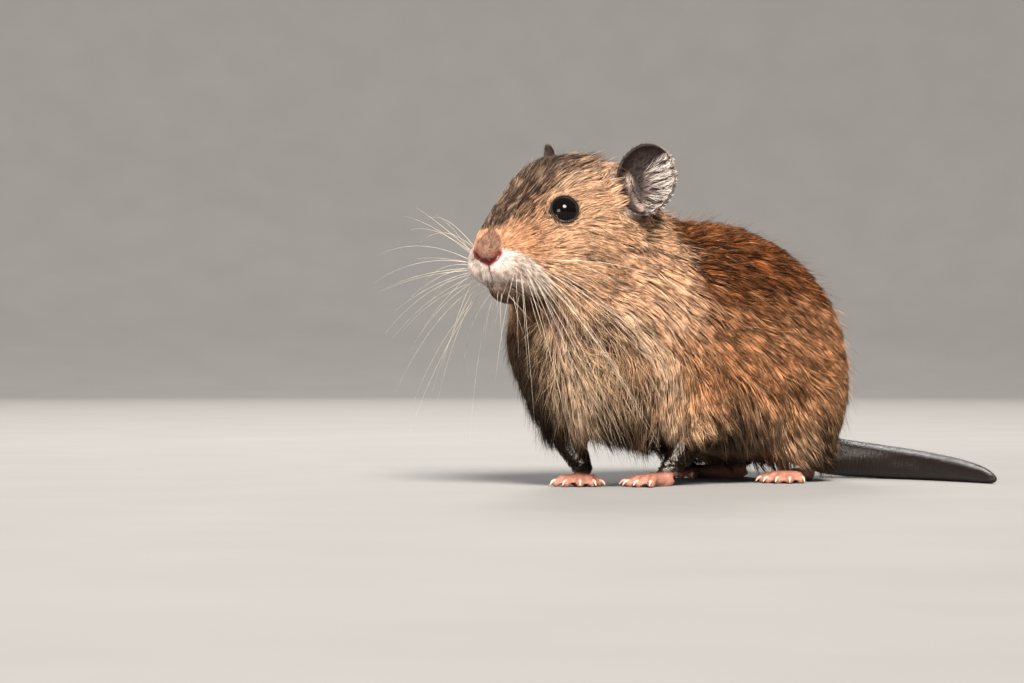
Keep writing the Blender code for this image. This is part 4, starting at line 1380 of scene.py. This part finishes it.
def grow_strays(count):
    """Single long hairs that stand a little off the coat and soften its outline."""
    density = fur_all * ramp(9.0, 20.0, far_all) * (1.0 - skin_masks["shin"])
    _, y, z = surface.points.T
    chest = ramp(0.1, 0.6, -surface.normals[:, 1]) * fade(-16.0, -8.0, y) * fade(26.0, 33.0, z)
    roots, _, masks, width, lines, ups = lay_out(
        count, density * (1.0 + 5.0 * chest), 3, 0.22, (0.1, 1.3), (1.0, 1.25)
    )
    mid, tip, black, depth = coat_markings_and_shade(roots, lines, ups, masks)
    coat = Layers(mid, tip, black)
    on_chest = ramp(-8.0, -16.0, roots[:, 1]) * ramp(33.0, 26.0, roots[:, 2])
    on_chest *= ramp(12.0, 18.0, roots[:, 2]) * ramp(-1.0, 4.0, across_body(roots))
    coat.lay(on_chest, CREAM * 0.55, CREAM, 0.0, share=(0.6, 0.8, 0.8))
    mid, tip, black = coat.values
    shade = np.exp(rng.normal(0.1, 0.3, len(roots)))
    colours = banded(mid, tip, black[:, 0], depth, 3, shade)
    widths = 0.4 * width * rng.uniform(0.8, 1.2, len(roots))
    finish_coat("coat_stray", lines, ups, widths, colours, roots)


STREAKS = 46.0  # how dense the silver streaks in the ear are, over its angle


def ear_hairs(roots, normals):
    """The lie of the hairs on the ears, their fan in the ear's axes, and where they are silver."""
    place, _ = ear_places(roots)
    _, silver = ear_inside(roots, normals)
    count = len(roots)
    fan_out = np.column_stack((-np.ones(count), 0.14 * (place[:, 1] + 0.8), np.full(count, 0.1)))
    spread = unit(place - (4.3, -4.2, -4.5))
    fan_out = unit(mix(spread, unit(fan_out), silver[:, None]))
    flow = np.einsum("nij,ni->nj", nearer_ear(roots)[1], fan_out) @ HEAD
    return flat_on(flow, normals), fan_out, place, silver


def to_rim(place, way):
    """How far it is from places in the ear along ways to the rim's oval."""
    size = (EAR_HALF_WIDTH, EAR_HALF_HEIGHT)
    at, step = place[:, :2] / size, way[:, :2] / size
    square, half, rest = (step**2).sum(1), (at * step).sum(1), (at**2).sum(1) - 1.0
    return (-half + np.sqrt(np.maximum(half**2 - square * rest, 0.0))) / square


def grow_fine(name, kind, count, length, width, rise, hue):
    """Short single hairs on the ears, feet and tail."""
    roots, normals, _ = surface.scatter(count, skin_masks[kind])
    if kind == "ear":
        flow, fan_out, place, silver = ear_hairs(roots, normals)
    elif kind == "tail":
        rows = tail_rows(8)
        flow = flat_on(tail_ways(rows, nearest_rows(rows, roots)), normals)
    else:
        flow = flat_on(np.tile((0.0, -1.0, -0.25), (count, 1)), normals)
    flow = flat_on(flow + np.cross(normals, flow) * rng.normal(0, 0.2, count)[:, None], normals)
    reach = length * rng.uniform(0.6, 1.2, count)
    colour = np.tile(hue, (count, 1))
    if kind == "ear":
        most = np.maximum(to_rim(place, fan_out), 0.1) + rng.uniform(0.0, 0.45, count) * silver
        reach = np.minimum(reach * mix(0.3, 1.0, silver), most)
        angle = np.arctan2(place[:, 1] + 0.8, 7.0 - place[:, 0])
        streaks = 0.5 + 0.5 * np.sin(angle * STREAKS + 1.3 * waves(roots, 3.0, 9))
        bright = silver * ramp(0.05, 0.6, streaks) * rng.uniform(0.5, 1.5, count)
        colour = mix(EAR_SKIN * 0.6, SILVER * 1.3, np.clip(bright, 0, 1)[:, None])
    reach = reach[:, None]
    lines = np.stack((
        roots - normals * 0.03,
        roots + flow * 0.5 * reach + normals * rise * 0.7 * reach,
        roots + flow * reach + normals * rise * reach,
    ), axis=1)
    colour = colour * np.exp(rng.normal(0, 0.3, count))[:, None]
    colours = within(np.stack((colour * 0.7, colour, colour * 1.1), axis=1))
    widths = width * rng.uniform(0.7, 1.2, count)
    finish_coat(name, lines, normals, widths, colours, roots)


coat_look = hair_material()
tufts = {k: int(v * (1.0)) for k, v in TUFTS.items()}
far_all = face_reach(surface.points)
bare = np.maximum.reduce([skin_masks[m] for m in ("ear", "foot", "tail")])
above_sole = ramp(2.4, 3.4, surface.points[:, 2]) * (1.0 - skin_masks["tail"])
fur_all = np.maximum(np.clip(1.0 - 1.4 * bare, 0, 1), 0.9 * skin_masks["shin"] * above_sole)
is_face = np.maximum(fade(15.0, 21.0, far_all), skin_masks["shin"])
nose_front = nose_map(to_head(surface.points))
face_density = fur_all * is_face * (1.0 + 1.6 * fade(4.0, 13.0, far_all))
face_density *= ramp(0.3, 0.75, near_path(nose_front, NOSTRIL))
face_density *= ramp(0.25, 0.7, near_path(nose_front, PHILTRUM))
face_density *= 1.0 - 0.8 * skin_masks["mouth"]
grow("coat_body", tufts["body"], 3, fur_all * (1.0 - is_face), 6)
grow("coat_face", tufts["face"], 2, face_density, 2, pull=0.6, contrast=0.34)
grow_strays(tufts["strays"])
grow_fine("coat_ears", "ear", tufts["ears"], 2.9, 0.039, 0.2, EAR_SKIN)
grow_fine("coat_feet", "pink", tufts["feet"], 0.55, 0.016, 0.2, FOOT * 1.1)
grow_fine("coat_tail", "tail", tufts["tail"], 1.0, 0.014, 0.14, TAIL_SKIN * 1.6)
print("coat")

# ---------------------------------------- eyes, claws and whiskers

EYE_BLACK = (0.003, 0.002, 0.0018)
CLAW_HORN = (0.62, 0.37, 0.29)
WHISKER_TONE = (0.70, 0.58, 0.45)
WHISKER_CURVE = 2.2  # the power by which a whisker bends more towards its tip
WHISKER_TAPER = 0.88  # of its thickness, lost from root to tip
WHISKER_CUT = 0.94  # how much shorter it gets at a time until it is inside its box


def make_eyes():
    look = plain_material("eye", EYE_BLACK, 0.04, 0.16, 300.0, 0.8, 1.2)
    for side, node in ((1, "eye_left"), (-1, "eye_right")):
        bm = bmesh.new()
        add_ball(bm, EYES[side], EYE_RADIUS, 64)
        ball = new_object(f"{node}_ball", bm)
        finish_surface(ball, look)
        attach(ball, "root")
        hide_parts(node)


def make_claws():
    bm = bmesh.new()
    for claw in paw_lines()[2]:
        add_tube(bm, claw, sides=12, steps=4, shift=PLAN)
    claws = new_object("claws", bm)
    finish_surface(claws, plain_material("claw", CLAW_HORN, 0.3, 0.5, 900.0, 0.85, 1.1))
    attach(claws, "root")


def whisker(bm, start, way, length, sag, bend, thick):
    """One whisker from start: it sets out along way, sinks by sag and turns back by bend."""
    while True:
        path = []
        for k in range(11):
            t = k / 10
            turn = (bend - (0, 0, sag)) * t**WHISKER_CURVE
            path.append((tuple(start + length * (way * t + turn)), thick * (1 - WHISKER_TAPER * t)))
        tip = np.array(path[-1][0])
        if (tip > WHISKER_BOX[0]).all() and (tip < WHISKER_BOX[1]).all():
            break
        length *= WHISKER_CUT
    add_tube(bm, path, sides=5, steps=1)


def make_whiskers():
    bm = bmesh.new()
    backwards = np.array((0.0, 1.0, 0.0)) @ HEAD
    for i, start in enumerate(WHISKER_ROOTS):
        side = 1 if i < WHISKER_ROWS * WHISKER_COLUMNS else -1
        high = i // WHISKER_COLUMNS % WHISKER_ROWS / (WHISKER_ROWS - 1)
        back = i % WHISKER_COLUMNS / (WHISKER_COLUMNS - 1)
        length = mix(13.0, 30.0, back**0.8) * rng.uniform(0.75, 1.08)
        if side > 0:
            turn, rise = mix(46.0, -56.0, back), mix(-55.0, -8.0, high)
        else:
            turn, rise = mix(60.0, 4.0, back), mix(-55.0, 40.0, high)
        turn = math.radians(turn + rng.normal(0, 8))
        rise = math.radians(rise + rng.normal(0, 8))
        flat = math.cos(rise)
        way = np.array((side * math.cos(turn) * flat, -math.sin(turn) * flat, math.sin(rise)))
        sag = rng.uniform(0.15, 0.5) + 0.15 * (side > 0)
        bend = backwards * rng.uniform(0.05, 0.4) * back
        whisker(bm, start, unit(way @ HEAD), length, sag, bend, mix(0.030, 0.044, back))
    for side in (1, -1):
        for k in range(3):  # over the eye
            root = np.array((side * (5.6 + 0.5 * k), 9.8 + 1.1 * k, 9.4 + 0.3 * k))
            place, _ = surface.nearest([Vector(from_head(root))])
            way = unit(np.array((side * 0.5, 0.5 + 0.2 * k, 0.9)) @ HEAD)
            whisker(bm, place[0], way, rng.uniform(6, 9), 0.15, backwards * 0.4, 0.035)
        for k in range(7):  # on the chin
            root = np.array((side * (0.6 + 0.55 * k), 1.6 + 0.9 * k, -6.6 - 0.1 * k))
            root += rng.normal(0, 0.4, 3)
            place, _ = surface.nearest([Vector(from_head(root))])
            way = np.array((side * 0.45, -0.3 + 0.1 * k, -0.9)) + rng.normal(0, 0.25, 3)
            whisker(bm, place[0], unit(way @ HEAD), rng.uniform(3, 9), 0.1, backwards * 0.15, 0.03)
    whiskers = new_object("whiskers", bm)
    look = plain_material("whisker", WHISKER_TONE, 0.4, 0.35, 500.0, 0.55, 1.15)
    finish_surface(whiskers, look)
    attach(whiskers, "root")


make_eyes()
make_claws()
make_whiskers()

# ---------------------------------------- studio and camera

KEY_ANGLE = math.radians(24.0)
STUDIO_RADIUS = 1.3
STUDIO_CURVE = 0.5
STUDIO_WALL = 0.7
STUDIO_SIDES = 96
LAMPS = (  # name, place, size, or none for a sun, power and colour
    ("key", (0.98, -0.72, 1.0), None, 8.8, (1.0, 0.95, 0.89)),
    ("fill", (0.15, -1.15, 0.14), 0.5, 10.0, (1.0, 0.98, 0.96)),
    ("back", (-0.95, 0.85, 0.8), 0.5, 10.0, (1.0, 0.97, 0.93)),
)


def studio_material():
    """A plain pale floor that gets darker towards the wall."""
    material, tree, shader = new_material("floor", 0.8, 0.1)
    place = add_node(tree, "ShaderNodeTexCoord").outputs["Object"]
    reach = add_node(tree, "ShaderNodeVectorMath", {0: place}, operation="LENGTH")
    base = plain_colour(tree, (0.30, 0.292, 0.28))
    tone = tinted(tree, base, noise_of(tree, 30.0), 0.97, 1.03)
    tone = tinted(tree, tone, reach.outputs["Value"], 1.0, 0.36, 0.3, 1.5)
    tree.links.new(tone, shader.inputs["Base Color"])
    return material


def make_studio():
    """A pale floor that curves up into a wall all round, and soft lamps."""
    rows = [(0.5 * STUDIO_RADIUS, 0.0)]
    for k in range(13):
        a = math.radians(7.5 * k)
        rows.append((STUDIO_RADIUS + STUDIO_CURVE * math.sin(a), STUDIO_CURVE * (1 - math.cos(a))))
    rows.append((STUDIO_RADIUS + STUDIO_CURVE, STUDIO_WALL))
    bm = bmesh.new()
    hub = bm.verts.new((0.0, 0.0, 0.0))
    loops = [
        [bm.verts.new((radius * c, radius * s, height)) for c, s in circle(STUDIO_SIDES)]
        for radius, height in rows
    ]
    fan(bm, loops[0], hub)
    bridge(bm, loops)
    floor = new_object("floor", bm)
    finish_surface(floor, studio_material())
    world = bpy.data.worlds.new("world")
    bpy.context.scene.world = world
    world.use_nodes = True
    background = world.node_tree.nodes["Background"]
    background.inputs["Color"].default_value = (0.86, 0.90, 1.0, 1.0)
    background.inputs["Strength"].default_value = 0.24
    for name, place, size, power, tint in LAMPS:
        lamp = bpy.data.lights.new(name, "AREA" if size else "SUN")
        if size:
            lamp.shape = "DISK"
            lamp.size = size
        else:
            lamp.angle = KEY_ANGLE
        lamp.energy = power
        lamp.color = tint
        holder = add_object(name, lamp)
        holder.location = place
        aim = Vector((-0.01, 0.0, 0.025)) - Vector(place)
        holder.rotation_euler = aim.to_track_quat("-Z", "Y").to_euler()
    view = bpy.context.scene.view_settings
    view.view_transform = "Standard"
    view.look = "None"


CAMERA_TURN = math.radians(44.0)
CAMERA_DISTANCE = 469.3
CAMERA_HEIGHT = 20.0


def make_camera():
    lens = bpy.data.cameras.new("camera")
    lens.lens = 100.0
    lens.sensor_width = 36.0
    lens.shift_y = 0.023
    lens.clip_start = 0.01
    camera = add_object("camera", lens)
    right = Vector((math.cos(CAMERA_TURN), math.sin(CAMERA_TURN), 0.0))
    ahead_way = Vector((-math.sin(CAMERA_TURN), math.cos(CAMERA_TURN), 0.0))
    place = Vector((-6.2, -11.9, 0.0)) - right * 22.77 - ahead_way * CAMERA_DISTANCE
    camera.location = (place + Vector((0.0, 0.0, CAMERA_HEIGHT))) * MM
    camera.rotation_euler = ahead_way.to_track_quat("-Z", "Y").to_euler()
    bpy.context.scene.camera = camera


make_studio()
make_camera()
